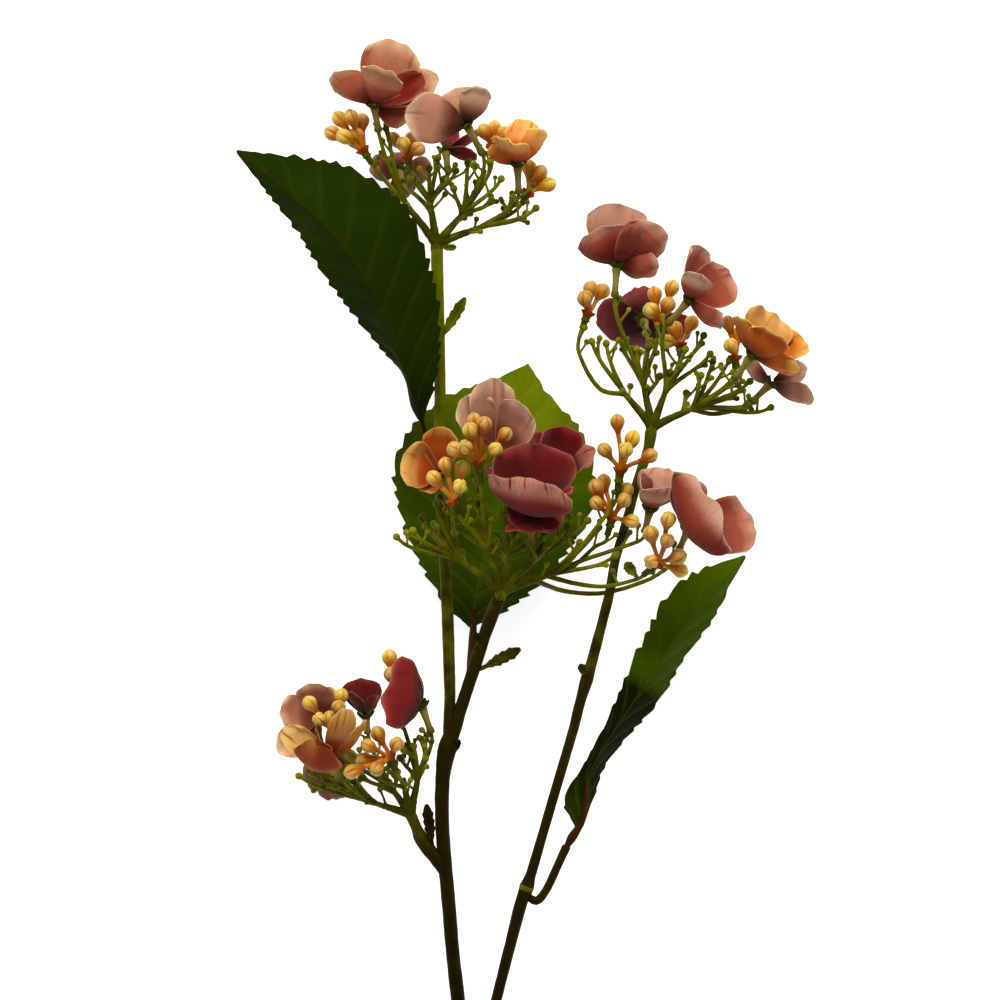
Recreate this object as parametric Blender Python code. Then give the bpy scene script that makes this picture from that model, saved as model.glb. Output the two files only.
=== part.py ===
"""Cut spray of a lacecap hydrangea, lying on a surface.

One forked stem carries three toothed leaves and four flower heads. Each head is a green cyme of
rays and small buds, with florets of cupped petals and bunches of orange buds seated on its rays.
"""
import math
import random

import bmesh
import bpy
from mathutils import Vector
from mathutils.bvhtree import BVHTree

# Driving dimensions, in metres
MM = 0.001
SHEET_STEP = 0.0004       # one step of the layout sheet, across or down
ORIGIN_ACROSS = 527.5     # the part's origin on the layout sheet, in steps
ORIGIN_DOWN = 620.0
SEAT_GAP = 0.0006         # between a ray and the floret or bunch that it carries
PETAL_THICKNESS = 0.0008
PETAL_BASE = 0.15         # width at the base, in widths of the broadest place
PETAL_BROADEST = 0.6      # where a petal is broadest, in its lengths
ROLL_START = 0.72         # where its rim starts to roll over
LEAF_THICKNESS = 0.0008
BRACT_THICKNESS = 0.0009
BRACT_LIFT = 0.0004       # its edges stand this far over its middle
BROAD_PETAL = 22          # millimetres: a wider petal gets one more column of faces
SMALL_PETAL = 15.5        # millimetres: a narrower petal gets one row of faces less
TUBE_RADIUS = 0.0016      # pale tube under a floret
CALYX_REACH = 0.0016      # how far the tube's wide top runs past the petals' bases
HUB_RADIUS = 0.0021
HUB_REACH = 0.0017        # from the middle of the hub to its lower end and to its top
LIMB_RADII = (0.0019, 0.0011)    # at the hub and at the end
LIMB_STARTS = (0.45, 0.7, 0.97)  # where rays may leave a limb
LIMB_BEND = 1.2           # how much a sharp bend counts against a ray's start
RAY_RADII = (0.00105, 0.00075)
RAY_CLEARANCE = 0.0006
RAY_BOWS = (0, 2, 4, 6, 9, 12)   # millimetres, tried in turn until a ray is clear
HUB_SINK = 0.0011         # a limb starts this far from the middle of the hub, inside it
RAY_STEPS = 3
LONG_RAY_STEPS = 6        # of a ray that passes set points
RAY_END = 0.003           # a ray that passes set points arrives straight over this length
CLEARANCE_STEPS = 20      # a ray's room is measured at this many steps
BRANCHLET_RADIUS = 0.0007
BRANCHLETS = 2            # on each head
BRANCHLET_LENGTHS = (5.5, 8.5)   # millimetres
BRANCHLET_STARTS = (0.86, 0.62)  # how far along a ray
BRANCHLET_GAP = 0.0042    # between the ends of two branchlets
BRANCHLET_LOWEST = 0.004  # height above the surface
GREEN_BUD_RADIUS = 0.0015
ORANGE_BUD_RADIUS = 0.0031
ORANGE_BUD_SIDES = 5
BUD_STALK_RADIUS = 0.0008
TOOTH_DEPTH = 0.0016
TEETH = 9                 # on each edge of a leaf
SHARP_EDGE = math.radians(50)    # a sharper edge than this stays hard
FLAT_EDGE = math.radians(0.4)    # a flatter edge than this goes
SEED = 4
# Form of a petal: how far its middle bows out and where it starts, in its lengths; how far its
# rim rolls over, in its widths; how broad its tip stays and how far the tip's corners draw back
PETAL_FORM = {"bulge": 0.13, "start": 0.06, "roll": 0.03, "blunt": 0.62, "round": 0.22}
# A green bud on its twig: how far along, and the radius there
GREEN_DROP = [(0, 0), (0, BRANCHLET_RADIUS * 1.2), (0.58, BRANCHLET_RADIUS),
              (0.82, GREEN_BUD_RADIUS * 1.1), (1, 0)]

# Colours, linear
STEM_BROWN = (0.05, 0.035, 0.010)
CYME_GREEN = (0.13, 0.17, 0.015)
LEAF_DARK = (0.02, 0.05, 0.005)
LEAF_BRIGHT = (0.07, 0.14, 0.012)
PINK = (0.45, 0.13, 0.10)
SALMON = (0.52, 0.19, 0.12)
MAUVE = (0.42, 0.22, 0.20)
CRIMSON = (0.17, 0.012, 0.025)
ORANGE = (0.55, 0.20, 0.05)
BUD_ORANGE = (0.75, 0.38, 0.12)


# Layout: points are (across, down, height). Across and down are steps of the layout sheet,
# height is in millimetres above the surface. A fourth value is a radius in millimetres.
MAIN_STEM = [
    (468, 1200, 2.7, 3.0), (469, 1160, 2.9, 2.9), (471, 1112, 4.2, 3.1), (466, 1065, 8, 2.6),
    (457.5, 998, 14, 2.9), (452.5, 950, 20, 2.8), (448.5, 900, 25, 2.8),
    (445, 860, 29, 2.8), (442.5, 820, 33, 2.8), (443, 780, 36.5, 2.9), (447.5, 748, 39.5, 3.7),
    (454.5, 727, 41, 3.1), (460.5, 710, 42.5, 2.6), (467, 690, 44, 2.5), (477, 660, 47, 2.6),
    (485, 635, 50, 2.5), (493, 612, 53, 2.8), (499, 597, 55, 2.6),
]
TOP_ARM = [
    (448, 745, 40, 1.8), (449.5, 722, 41, 2.3), (449.5, 660, 40, 2.4),
    (447.5, 600, 38, 2.4), (444.5, 550, 37, 2.3), (441.5, 500, 36.5, 2.3), (440.5, 400, 37, 2.3),
    (440, 350, 38.5, 2.3), (437.6, 251, 42, 2.4),
]
RIGHT_ARM = [
    (471, 1112, 4.5, 1.8), (480, 1066, 7, 2.2), (498, 998, 12, 2.2),
    (510, 950, 16.5, 2.3), (521.5, 905, 20.5, 2.6), (527, 889, 22, 2.9), (531.5, 875, 23, 2.1),
    (544.5, 830, 26.5, 2.0), (573.5, 730, 33.5, 2.0), (581, 700, 35.5, 2.1),
    (587, 679, 36.5, 2.6), (592, 662, 37, 2.2), (603, 620, 39, 2.0), (610, 592, 40, 2.0),
    (615.5, 560, 41, 1.9),
    (627, 520, 41.8, 1.9), (638, 480, 41.7, 1.9), (648, 450, 43, 2.1), (650.5, 434, 44, 2.4),
]
LOW_BRANCH = [
    (445, 875, 28.5, 1.7), (437, 860, 30, 2.6), (428, 848, 31.5, 2.9), (421, 837, 33, 2.9),
    (415, 820, 35, 2.2),
]
LEAF_BRANCH = [
    (526, 896, 21, 1.5), (537, 902, 20.5, 1.8), (547, 891, 20.5, 1.7), (557.5, 869, 21, 1.7),
    (566, 850, 21.5, 1.8),
]
# Small bracts on the stem: base, tip and half width in millimetres
BRACTS = [
    ((438, 338, 39), (466, 298, 43), 2.0),
    ((481, 667, 47), (521, 647, 52), 2.3),
    ((433, 847, 32.5), (427, 803, 39), 2.1),
    ((588, 675, 38.5), (580, 663, 40.5), 1.6),
]

# Leaves: a stalk, then the midrib and both edges, from base to tip
LEAVES = {
    "leaf_upper_left": {
        "colour": LEAF_DARK,
        "stalk": [(433, 454, 37.5, 0.9), (429, 444, 39.5, 1.0), (425, 430, 43, 1.1),
                  (420, 412, 45.5, 1.0), (409, 380, 48.4, 0.7)],
        "left": [(419, 419, 45), (412, 405, 43.5), (405, 375, 42), (384, 350, 42), (350, 308, 42),
                 (321, 268, 43), (298, 230, 43), (273, 198, 41), (237.5, 152, 38)],
        "middle": [(421, 420, 45.5), (400, 356, 51), (387, 324, 53.5), (364, 274, 56),
                   (333, 232, 55), (287, 190, 49), (237, 150.5, 39)],
        "right": [(424, 419, 46), (436, 380, 48.5), (440, 350, 49.5), (437, 293, 50.5),
                  (421, 238, 54), (405, 205, 55), (355, 170, 52), (330, 162, 49), (238, 149, 39)],
    },
    "leaf_middle": {
        "colour": LEAF_BRIGHT,
        "stalk": [(470, 684, 41.5, 0.9), (470, 678, 36, 1.3), (471, 660, 27, 1.5),
                  (473, 640, 19, 1.7), (474.5, 610, 12.5, 1.0)],
        "left": [(469, 627, 15), (441, 599, 10), (404, 526, 3), (395, 458, 0.4), (434, 402, 0.4),
                 (500, 374, 0.4), (527, 362, 0.4)],
        "middle": [(471, 628, 15.5), (480, 580, 8), (500, 500, 0.5), (515, 430, 0.4),
                   (528.5, 360.5, 0.4)],
        "right": [(474, 627, 15), (519, 602, 10), (560, 562, 5), (596, 500, 0.6),
                  (584, 432, 0.4), (552, 395, 0.4), (530, 362, 0.4)],
    },
    "leaf_lower_right": {
        "colour": LEAF_DARK,
        "stalk": [(567, 848.3, 21.6, 1.2), (573, 838, 22, 1.9), (580, 827, 22.3, 1.5),
                  (588, 782, 23, 0.8)],
        "left": [(576, 828, 22.5), (565, 800, 27), (585, 764, 25), (607, 722, 24), (641, 647, 21),
                 (673, 590, 18), (704, 569, 15), (746, 555, 11)],
        "middle": [(580, 828, 22), (589, 780, 21.5), (603, 750, 21), (643, 690, 20),
                   (692, 620, 17), (748, 555, 11.5)],
        "right": [(584, 828, 21.5), (594, 800, 17), (609, 762, 12), (661, 701, 8), (686, 659, 6),
                  (716, 618, 6), (734, 582, 8), (748.5, 557, 11)],
    },
}

# Florets: colour, the point where the petals meet, the way the floret faces, the foot of its
# tube, and for each petal its tip, its width in millimetres, its cup angle, its twist and what
# sets its form apart from PETAL_FORM.
FLORETS = {
    "bloom_top_1": {
        "colour": SALMON, "centre": (375, 105, 52), "facing": (0.3, 0.85, 0.3),
        "foot": (379, 129, 48),
        "petals": [((334, 75, 56), 20, 0.9, 1.0, {"blunt": 0.72, "round": 0.3}),
                   ((388, 68, 68), 20, 0.9, 0, {"blunt": 0.85, "roll": 0.16}),
                   ((402, 43, 46), 27, 0.8, 0, {"blunt": 0.8}),
                   ((438, 74, 50), 19, 0.7, 0.5, {"roll": 0.1}),
                   ((424, 78, 57), 13, 0.6, 1.2, {"blunt": 0.85}),
                   ((411, 117, 50), 14, 0.6, 1.2, {"blunt": 0.75})],
    },
    "bloom_top_2": {
        "colour": MAUVE, "centre": (467, 126, 62), "facing": (-0.4, 0.8, -0.35),
        "foot": (482, 153, 55),
        "petals": [((407, 118, 71), 21, 0.5, 0.9, {"bulge": 0.08, "blunt": 0.8, "round": 0.24}),
                   ((482, 88, 67), 15, 1.0, -0.5, {"blunt": 0.8, "roll": 0.15}),
                   ((449, 94, 62), 20, 0.7, 0, {"blunt": 0.9})],
    },
    "bloom_top_3": {
        "colour": CRIMSON, "centre": (446, 148, 34), "facing": (0.2, 0.85, -0.4),
        "foot": (448, 167, 37),
        "petals": [((478, 156, 34), 13, 0.7, 0),
                   ((482, 128, 28), 13, 0.7, 0),
                   ((446, 116, 24), 15, 0.7, 0)],
    },
    "bloom_top_4": {
        "colour": ORANGE, "centre": (518, 164, 46), "facing": (0.1, 0.9, 0.2),
        "foot": (519, 191, 45),
        "petals": [((490, 147, 50), 14, 0.9, 0.9),
                   ((545, 130, 48), 17, 0.9, -0.7, {"blunt": 0.85}),
                   ((526, 117, 38), 15, 0.8, 0, {"blunt": 0.8}),
                   ((507, 136, 60), 18, 0.9, 0, {"blunt": 0.88, "roll": 0.12})],
    },
    "bloom_top_5": {
        "colour": SALMON, "centre": (398, 168, 14), "facing": (-0.1, 0.25, -0.95),
        "foot": (403, 180, 25),
        "petals": [((369, 160, 0.7), 12, 0.7, 0),
                   ((430, 165, 0.7), 13, 0.7, 0),
                   ((392, 149, 1.2), 11, 0.7, 0),
                   ((404, 193, 1.2), 12, 0.7, 0)],
    },
    "bloom_right_1": {
        "colour": PINK, "centre": (617, 264, 47), "facing": (0.1, 0.95, 0.15),
        "foot": (615, 294, 47),
        "petals": [((594, 230, 54), 24, 0.8, 1.0, {"blunt": 0.85, "round": 0.3}),
                   ((662, 227, 52), 24, 0.8, -1.0, {"blunt": 0.85, "round": 0.3}),
                   ((616, 202, 40), 27, 0.7, 0, {"blunt": 0.85}),
                   ((634, 226, 60), 11, 0.5, 0, {"blunt": 0.9}),
                   ((659, 266, 45), 16, 0.8, -1.0, {"bulge": 0.2, "blunt": 0.85})],
    },
    "bloom_right_2": {
        "colour": CRIMSON, "centre": (645, 318, 16), "facing": (0, 0.2, -0.95),
        "foot": (648, 331, 27),
        "petals": [((599, 316, 0.7), 20, 0.7, 0),
                   ((640, 284, 1.2), 18, 0.7, 0),
                   ((694, 330, 0.7), 15, 0.7, 0),
                   ((646, 346, 1.2), 16, 0.7, 0)],
    },
    "bloom_right_3": {
        "colour": PINK, "centre": (688, 301, 62), "facing": (0.8, 0.45, 0.35),
        "foot": (669, 322, 58),
        "petals": [((702, 247, 58), 22, 0.8, 0, {"blunt": 0.85}),
                   ((732, 276, 54), 21, 0.8, 0, {"blunt": 0.85}),
                   ((722, 327, 62), 16, 0.8, -0.8, {"blunt": 0.8}),
                   ((699, 273, 74), 14, 0.8, 1.1, {"blunt": 0.85, "roll": 0.12})],
    },
    "bloom_right_4": {
        "colour": ORANGE, "centre": (751, 355, 62), "facing": (0.55, 0.7, 0.35),
        "foot": (735, 377, 57),
        "petals": [((738, 315, 66), 16, 0.8, 0.8, {"blunt": 0.8, "roll": 0.1}),
                   ((774, 312, 54), 23, 0.8, 0, {"blunt": 0.85}),
                   ((806, 342, 58), 22, 0.8, 0, {"blunt": 0.85}),
                   ((798, 368, 66), 15, 0.7, -0.8, {"blunt": 0.8}),
                   ((776, 329, 77), 20, 0.9, 0, {"bulge": 0.2, "blunt": 0.85, "roll": 0.2})],
    },
    "bloom_right_5": {
        "colour": MAUVE, "centre": (772, 382, 36), "facing": (0.6, 0.5, -0.4),
        "foot": (753, 400, 38),
        "petals": [((815, 398, 40), 15, 0.7, 0, {"blunt": 0.8}),
                   ((808, 367, 32), 15, 0.7, 0),
                   ((744, 358, 28), 15, 0.7, 0)],
    },
    "bloom_middle_1": {
        "colour": MAUVE, "centre": (498, 448, 54), "facing": (0.05, 0.5, 0.85),
        "foot": (500, 470, 47),
        "petals": [((466, 396, 60), 19, 0.6, 0, {"blunt": 0.85}),
                   ((490, 379, 60), 20, 0.7, 0, {"blunt": 0.85}),
                   ((525, 407, 66), 21, 0.6, 0, {"blunt": 0.85})],
    },
    "bloom_middle_2": {
        "colour": CRIMSON, "centre": (533, 512, 70), "facing": (0.16, 0.94, 0.33),
        "foot": (531, 541, 65),
        "petals": [((526, 443, 70), 47, 0.8, 0, {"blunt": 0.7}),
                   ((530, 476, 90), 40, 0.75, 0, {"bulge": 0.3, "blunt": 0.9, "round": 0.3}),
                   ((537, 532, 74), 25, 0.7, 3.14, {"bulge": 0.2, "blunt": 0.8, "start": 0}),
                   ((508, 515, 75), 13, 0.7, 2.6, {"blunt": 0.8, "start": 0}),
                   ((562, 521, 75), 13, 0.7, -2.6, {"blunt": 0.8, "start": 0}),
                   ((490, 464, 62), 22, 0.8, 0.3, {"blunt": 0.8}),
                   ((573, 485, 67), 19, 0.8, -0.4, {"blunt": 0.8})],
    },
    "bloom_middle_3": {
        "colour": CRIMSON, "centre": (557, 476, 48), "facing": (0.25, 0.8, 0.45),
        "foot": (553, 498, 50),
        "petals": [((529, 433, 49), 20, 0.7, 0, {"blunt": 0.85}),
                   ((559, 426, 52), 23, 0.7, 0, {"blunt": 0.85}),
                   ((592, 446, 53), 20, 0.7, 0, {"blunt": 0.85, "roll": 0.1})],
    },
    "bloom_middle_4": {
        "colour": ORANGE, "centre": (441, 472, 60), "facing": (-0.3, 0.35, 0.85),
        "foot": (449, 494, 54),
        "petals": [((443, 427, 64), 18, 0.8, 0, {"blunt": 0.85}),
                   ((404, 462, 64), 21, 0.8, 0, {"blunt": 0.85, "roll": 0.1}),
                   ((420, 488, 62), 14, 0.8, 0)],
    },
    "bloom_middle_5": {
        "colour": PINK, "centre": (687, 528, 66), "facing": (0.6, 0.5, 0.55),
        "foot": (679, 547, 58),
        "petals": [((710, 499, 86), 43, 0.75, 0.1, {"bulge": 0.36, "blunt": 0.9, "round": 0.32}),
                   ((754, 523, 62), 31, 0.8, 0, {"bulge": 0.2, "blunt": 0.88}),
                   ((684, 472, 62), 22, 0.8, 0, {"blunt": 0.8})],
    },
    "bloom_middle_6": {
        "colour": PINK, "centre": (650, 508, 52), "facing": (0.1, 0.8, 0.3),
        "foot": (645, 529, 50),
        "petals": [((642, 472, 56), 15, 0.8, 0),
                   ((668, 468, 46), 21, 0.8, 0, {"blunt": 0.85}),
                   ((664, 484, 64), 18, 0.8, 0, {"blunt": 0.85, "roll": 0.1})],
    },
    "bloom_low_1": {
        "colour": MAUVE, "centre": (322, 715, 36), "facing": (-0.35, 0.35, 0.87),
        "foot": (334, 733, 32),
        "petals": [((314, 682, 42), 19, 0.7, 0, {"blunt": 0.85}),
                   ((281, 712, 44), 18, 0.7, 0, {"blunt": 0.8}),
                   ((279, 752, 40), 16, 0.7, 0),
                   ((338, 690, 36), 13, 0.7, 0)],
    },
    "bloom_low_2": {
        "colour": ORANGE, "centre": (331, 758, 54), "facing": (0.1, 0.9, 0.4),
        "foot": (342, 775, 47),
        "petals": [((286, 728, 62), 14, 0.8, -0.8, {"blunt": 0.8, "roll": 0.1}),
                   ((318, 738, 75), 24, 0.9, 0, {"bulge": 0.36, "blunt": 0.85, "round": 0.3}),
                   ((318, 728, 61), 20, 0.8, 0, {"blunt": 0.85}),
                   ((349, 704, 68), 12, 0.7, -0.7, {"blunt": 0.8}),
                   ((367, 717, 60), 12, 0.7, -0.7, {"blunt": 0.75})],
    },
    "bloom_low_3": {
        "colour": CRIMSON, "centre": (366, 714, 36), "facing": (0, 0.9, 0.2),
        "foot": (368, 730, 35),
        "petals": [((348, 688, 42), 15, 0.8, 0, {"blunt": 0.8}),
                   ((359, 678, 30), 18, 0.8, 0, {"blunt": 0.85}),
                   ((379, 695, 36), 12, 0.8, 0, {"blunt": 0.5})],
    },
    "bloom_low_4": {
        "colour": CRIMSON, "centre": (422, 703, 46), "facing": (-0.88, 0.3, 0.33),
        "foot": (431, 729, 43),
        "petals": [((388, 684, 61), 31, 0.6, 0, {"bulge": 0.22, "blunt": 0.95, "round": 0.2}),
                   ((413, 670, 44), 15, 0.7, 0, {"blunt": 0.8}),
                   ((399, 720, 44), 12, 0.7, 0, {"blunt": 0.8})],
    },
    "bloom_low_5": {
        "colour": PINK, "centre": (330, 770, 14), "facing": (0, 0, -1),
        "foot": (342, 780, 22),
        "petals": [((304, 784, 0.7), 14, 0.7, 0),
                   ((324, 744, 0.7), 13, 0.7, 0),
                   ((358, 760, 0.7), 12, 0.7, 0),
                   ((334, 802, 0.7), 14, 0.7, 0)],
    },
}

# Bunches of orange buds: the foot on a ray, the node where the bud stalks meet, and the buds
BUNCHES = {
    "buds_top_1": ((371, 161, 44), (364, 150, 44), [
        (340, 118, 42), (352, 117, 48), (363, 120, 42), (333, 133, 46), (345, 137, 50),
        (357, 134, 44)]),
    "buds_top_2": ((411, 166, 40), (408, 157, 40), [
        (394, 138, 40), (404, 143, 44), (413, 138, 38), (418, 149, 42)]),
    "buds_top_3": ((493, 155, 38), (493, 146, 37), [
        (485, 130, 38), (495, 126, 35), (504, 132, 37)]),
    "buds_top_4": ((523, 201, 36), (528, 192, 35), [
        (530, 166, 34), (541, 171, 36), (549, 183, 35), (537, 181, 30)]),
    "buds_right_1": ((583, 326, 47), (588, 313, 47), [
        (591, 288, 46), (603, 290, 40), (585, 298, 52)]),
    "buds_right_2": ((659, 332, 45), (660, 322, 45), [
        (655, 293, 44), (672, 287, 46), (651, 310, 48), (668, 304, 48)]),
    "buds_right_3": ((680, 353, 46), (680, 344, 46), [
        (675, 328, 44), (666, 341, 49), (692, 322, 44)]),
    "buds_right_4": ((735, 366, 46), (735, 357, 46), [
        (728, 322, 45), (739, 333, 44), (730, 345, 50)]),
    "buds_middle_1": ((481, 480, 70), (479, 462, 72), [
        (456, 449, 80), (466, 447, 86), (471, 430, 82), (475, 420, 76), (485, 424, 80),
        (496, 449, 80), (506, 434, 76)]),
    "buds_middle_2": ((458, 510, 70), (454, 500, 72), [
        (435, 477, 76), (461, 485, 82), (447, 464, 75), (463, 468, 74)]),
    "buds_middle_3": ((617, 491, 56), (620, 470, 58), [
        (617, 421, 60), (604, 449, 62), (625, 449, 68), (632, 438, 60), (650, 455, 60)]),
    "buds_middle_4": ((608, 532, 50), (612, 517, 52), [
        (604, 480, 50), (596, 486, 54), (596, 502, 58), (626, 489, 53), (624, 499, 60),
        (632, 520, 57)]),
    "buds_middle_5": ((645, 572, 54), (657, 562, 57), [
        (667, 518, 71), (650, 532, 64), (666, 539, 68), (650, 560, 67), (678, 555, 62),
        (680, 569, 57)]),
    "buds_low_1": ((338, 744, 42), (335, 732, 45), [
        (311, 701, 52), (321, 717, 56), (342, 694, 48), (340, 705, 54), (331, 716, 48)]),
    "buds_low_2": ((396, 766, 52), (391, 754, 54), [
        (379, 731, 54), (369, 743, 57), (398, 741, 60), (353, 769, 58), (365, 758, 52),
        (378, 766, 62)]),
    "buds_low_3": ((399, 708, 36), (395, 689, 37), [
        (390, 656, 38), (392, 673, 42)]),
}

# Heads: the hub, the way the head grows, the ends of its limbs, the rays that end in green
# buds, and points that a long ray passes on its way to a foot.
HEADS = {
    "top": {
        "hub": (437, 246, 42), "growth": (0, 1, 0.05),
        "limbs": [(407, 204, 45), (431, 203, 43), (462, 215, 45), (480, 227, 42)],
        "green_tips": [(534, 210, 46), (468, 166, 46), (430, 172, 52), (500, 182, 51),
                       (388, 128, 44), (455, 172, 34)],
        "via": {},
    },
    "right": {
        "hub": (652, 428.5, 44), "growth": (0.2, 0.97, 0),
        "limbs": [(625, 393, 46), (644, 386, 45), (665, 392, 47), (692, 408, 46)],
        "green_tips": [(593, 344, 47), (624, 346, 40), (702, 338, 50), (712, 364, 42),
                       (747, 383, 50), (768, 408, 42), (648, 350, 54)],
        "via": {"buds_right_1": [(600, 388, 46), (579, 352, 47)],
                "bloom_right_5": [(715, 413, 41)]},
    },
    "middle": {
        "hub": (501.5, 592, 55.5), "growth": (0.2, 0.95, 0.1),
        "limbs": [(463, 560, 56), (488, 549, 62), (510, 552, 56), (533, 560, 57), (548, 574, 54)],
        "green_tips": [(400, 538, 58), (436, 526, 50), (492, 522, 62), (562, 535, 50),
                       (612, 556, 60), (470, 520, 56)],
        "via": {"buds_middle_3": [(566, 563, 58), (598, 524, 58)],
                "buds_middle_4": [(572, 566, 50), (596, 545, 49)],
                "buds_middle_5": [(575, 582, 50), (605, 585, 49)],
                "bloom_middle_5": [(565, 590, 40), (605, 592, 34), (650, 578, 38), (674, 561, 48)],
                "bloom_middle_6": [(580, 560, 54), (625, 545, 50)]},
    },
    "low": {
        "hub": (412, 815.5, 35.3), "growth": (-0.45, 0.85, 0.1),
        "limbs": [(377, 803, 35), (394, 790, 36), (405, 786, 42), (418, 780, 38)],
        "green_tips": [(302, 777, 36), (426, 742, 29), (415, 748, 40), (350, 772, 30),
                       (384, 776, 34)],
        "via": {},
    },
}


def spot(across, down, height):
    """A layout point in the part's own frame."""
    return Vector(((across - ORIGIN_ACROSS) * SHEET_STEP, (ORIGIN_DOWN - down) * SHEET_STEP,
                   height * MM))


def clear_scene():
    for item in list(bpy.data.objects):
        bpy.data.objects.remove(item, do_unlink=True)


def plain_material(name, colour, roughness):
    material = bpy.data.materials.new(name)
    material.use_nodes = True
    shader = material.node_tree.nodes["Principled BSDF"]
    shader.inputs["Base Color"].default_value = (*colour, 1)
    shader.inputs["Roughness"].default_value = roughness
    shader.inputs["Metallic"].default_value = 0.0
    return material


def face_outward(bm):
    bmesh.ops.recalc_face_normals(bm, faces=bm.faces)
    if bm.calc_volume(signed=True) < 0:
        bmesh.ops.reverse_faces(bm, faces=bm.faces)


def mesh_from(bm):
    """Face a closed bmesh outward and give its mesh."""
    face_outward(bm)
    mesh = bpy.data.meshes.new("piece")
    bm.to_mesh(mesh)
    bm.free()
    return mesh


def rod(points, radii, sides=4):
    """Closed mesh of a rod along the points, with a ring of vertices at each of them."""
    bm = bmesh.new()
    across = (points[1] - points[0]).orthogonal()
    rings = []
    for index, (point, radius) in enumerate(zip(points, radii)):
        heading = points[min(index + 1, len(points) - 1)] - points[max(index - 1, 0)]
        heading.normalize()
        across = (across - across.dot(heading) * heading).normalized()
        beside = heading.cross(across)
        ring = []
        for side in range(sides):
            angle = side * math.tau / sides
            ring.append(bm.verts.new(point + across * math.cos(angle) * radius
                                     + beside * math.sin(angle) * radius))
        rings.append(ring)
    for low, high in zip(rings, rings[1:]):
        for side in range(sides):
            after = (side + 1) % sides
            bm.faces.new((low[side], low[after], high[after], high[side]))
    bm.faces.new(rings[0])
    bm.faces.new(rings[-1])
    return mesh_from(bm)


def layout_rod(stations, sides=4):
    points = [spot(*station[:3]) for station in stations]
    return rod(points, [station[3] * MM for station in stations], sides)


def turned_drop(base, tip, profile, sides):
    """Closed mesh turned round the line from base to tip; the profile is (way along, radius)."""
    bm = bmesh.new()
    length = (tip - base).length
    rim = [bm.verts.new((radius, 0, way * length)) for way, radius in profile]
    edges = [bm.edges.new(pair) for pair in zip(rim, rim[1:])]
    bmesh.ops.spin(bm, geom=rim + edges, axis=(0, 0, 1), angle=math.tau, steps=sides,
                   use_merge=True)
    bmesh.ops.remove_doubles(bm, verts=bm.verts, dist=0.000001)
    turn = Vector((0, 0, 1)).rotation_difference(tip - base)
    for vert in bm.verts:
        vert.co = base + turn @ vert.co
    return mesh_from(bm)


def shaped_sheet(columns, rows, place, thickness):
    """Closed blade from a grid: place(across, along) gives a point, across runs from -1 to 1."""
    bm = bmesh.new()
    bmesh.ops.create_grid(bm, x_segments=columns, y_segments=rows, size=1)
    for vert in bm.verts:
        vert.co = place(vert.co.x, (vert.co.y + 1) / 2)
    bmesh.ops.triangulate(bm, faces=bm.faces)
    bmesh.ops.recalc_face_normals(bm, faces=bm.faces)
    bmesh.ops.solidify(bm, geom=bm.faces[:], thickness=thickness)
    return mesh_from(bm)


def union(name, meshes, material):
    """One closed body from meshes that are sunk into each other."""
    base = bpy.data.objects.new(name, meshes[0])
    bpy.context.scene.collection.objects.link(base)
    if len(meshes) > 1:
        others = bpy.data.collections.new(name + "_repeats")
        for mesh in meshes[1:]:
            others.objects.link(bpy.data.objects.new("repeat", mesh))
        join = base.modifiers.new("Join", "BOOLEAN")
        join.operation = "UNION"
        join.operand_type = "COLLECTION"
        join.collection = others
        join.solver = "EXACT"
        graph = bpy.context.evaluated_depsgraph_get()
        joined = bpy.data.meshes.new_from_object(base.evaluated_get(graph))
        base.modifiers.clear()
        base.data = joined
        for item in list(others.objects):
            bpy.data.objects.remove(item)
        bpy.data.collections.remove(others)
    tidy_body(base.data)
    base.data.materials.clear()
    base.data.materials.append(material)
    base.data.shade_smooth()
    base.data.set_sharp_from_angle(angle=SHARP_EDGE)
    return base


def tidy_body(mesh):
    """Keep the largest closed shell, flatten what would dip under the surface, and triangulate."""
    bm = bmesh.new()
    bm.from_mesh(mesh)
    bmesh.ops.dissolve_limit(bm, angle_limit=FLAT_EDGE, verts=bm.verts, edges=bm.edges)
    for vert in bm.verts:
        vert.co.z = max(vert.co.z, 0)
    drop_loose_shells(bm)
    bmesh.ops.triangulate(bm, faces=bm.faces)
    face_outward(bm)
    bm.to_mesh(mesh)
    bm.free()


def drop_loose_shells(bm):
    unseen = set(bm.verts)
    shells = []
    while unseen:
        shell = set()
        front = [unseen.pop()]
        while front:
            vert = front.pop()
            shell.add(vert)
            for edge in vert.link_edges:
                other = edge.other_vert(vert)
                if other in unseen:
                    unseen.discard(other)
                    front.append(other)
        shells.append(shell)
    shells.sort(key=len)
    scraps = [vert for shell in shells[:-1] for vert in shell]
    bmesh.ops.delete(bm, geom=scraps, context="VERTS")


def petal_breadth(along, blunt):
    """Half width of a petal, in half widths of its broadest place, from its base to its tip."""
    if along < PETAL_BROADEST:
        rise = math.sin(math.pi / 2 * along / PETAL_BROADEST) ** 1.1
        return PETAL_BASE + (1 - PETAL_BASE) * rise
    return 1 - (1 - blunt) * ((along - PETAL_BROADEST) / (1 - PETAL_BROADEST)) ** 2


def smooth(low, high, value):
    """Rises from 0 at low to 1 at high."""
    t = min(max((value - low) / (high - low), 0), 1)
    return t * t * (3 - 2 * t)


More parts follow.
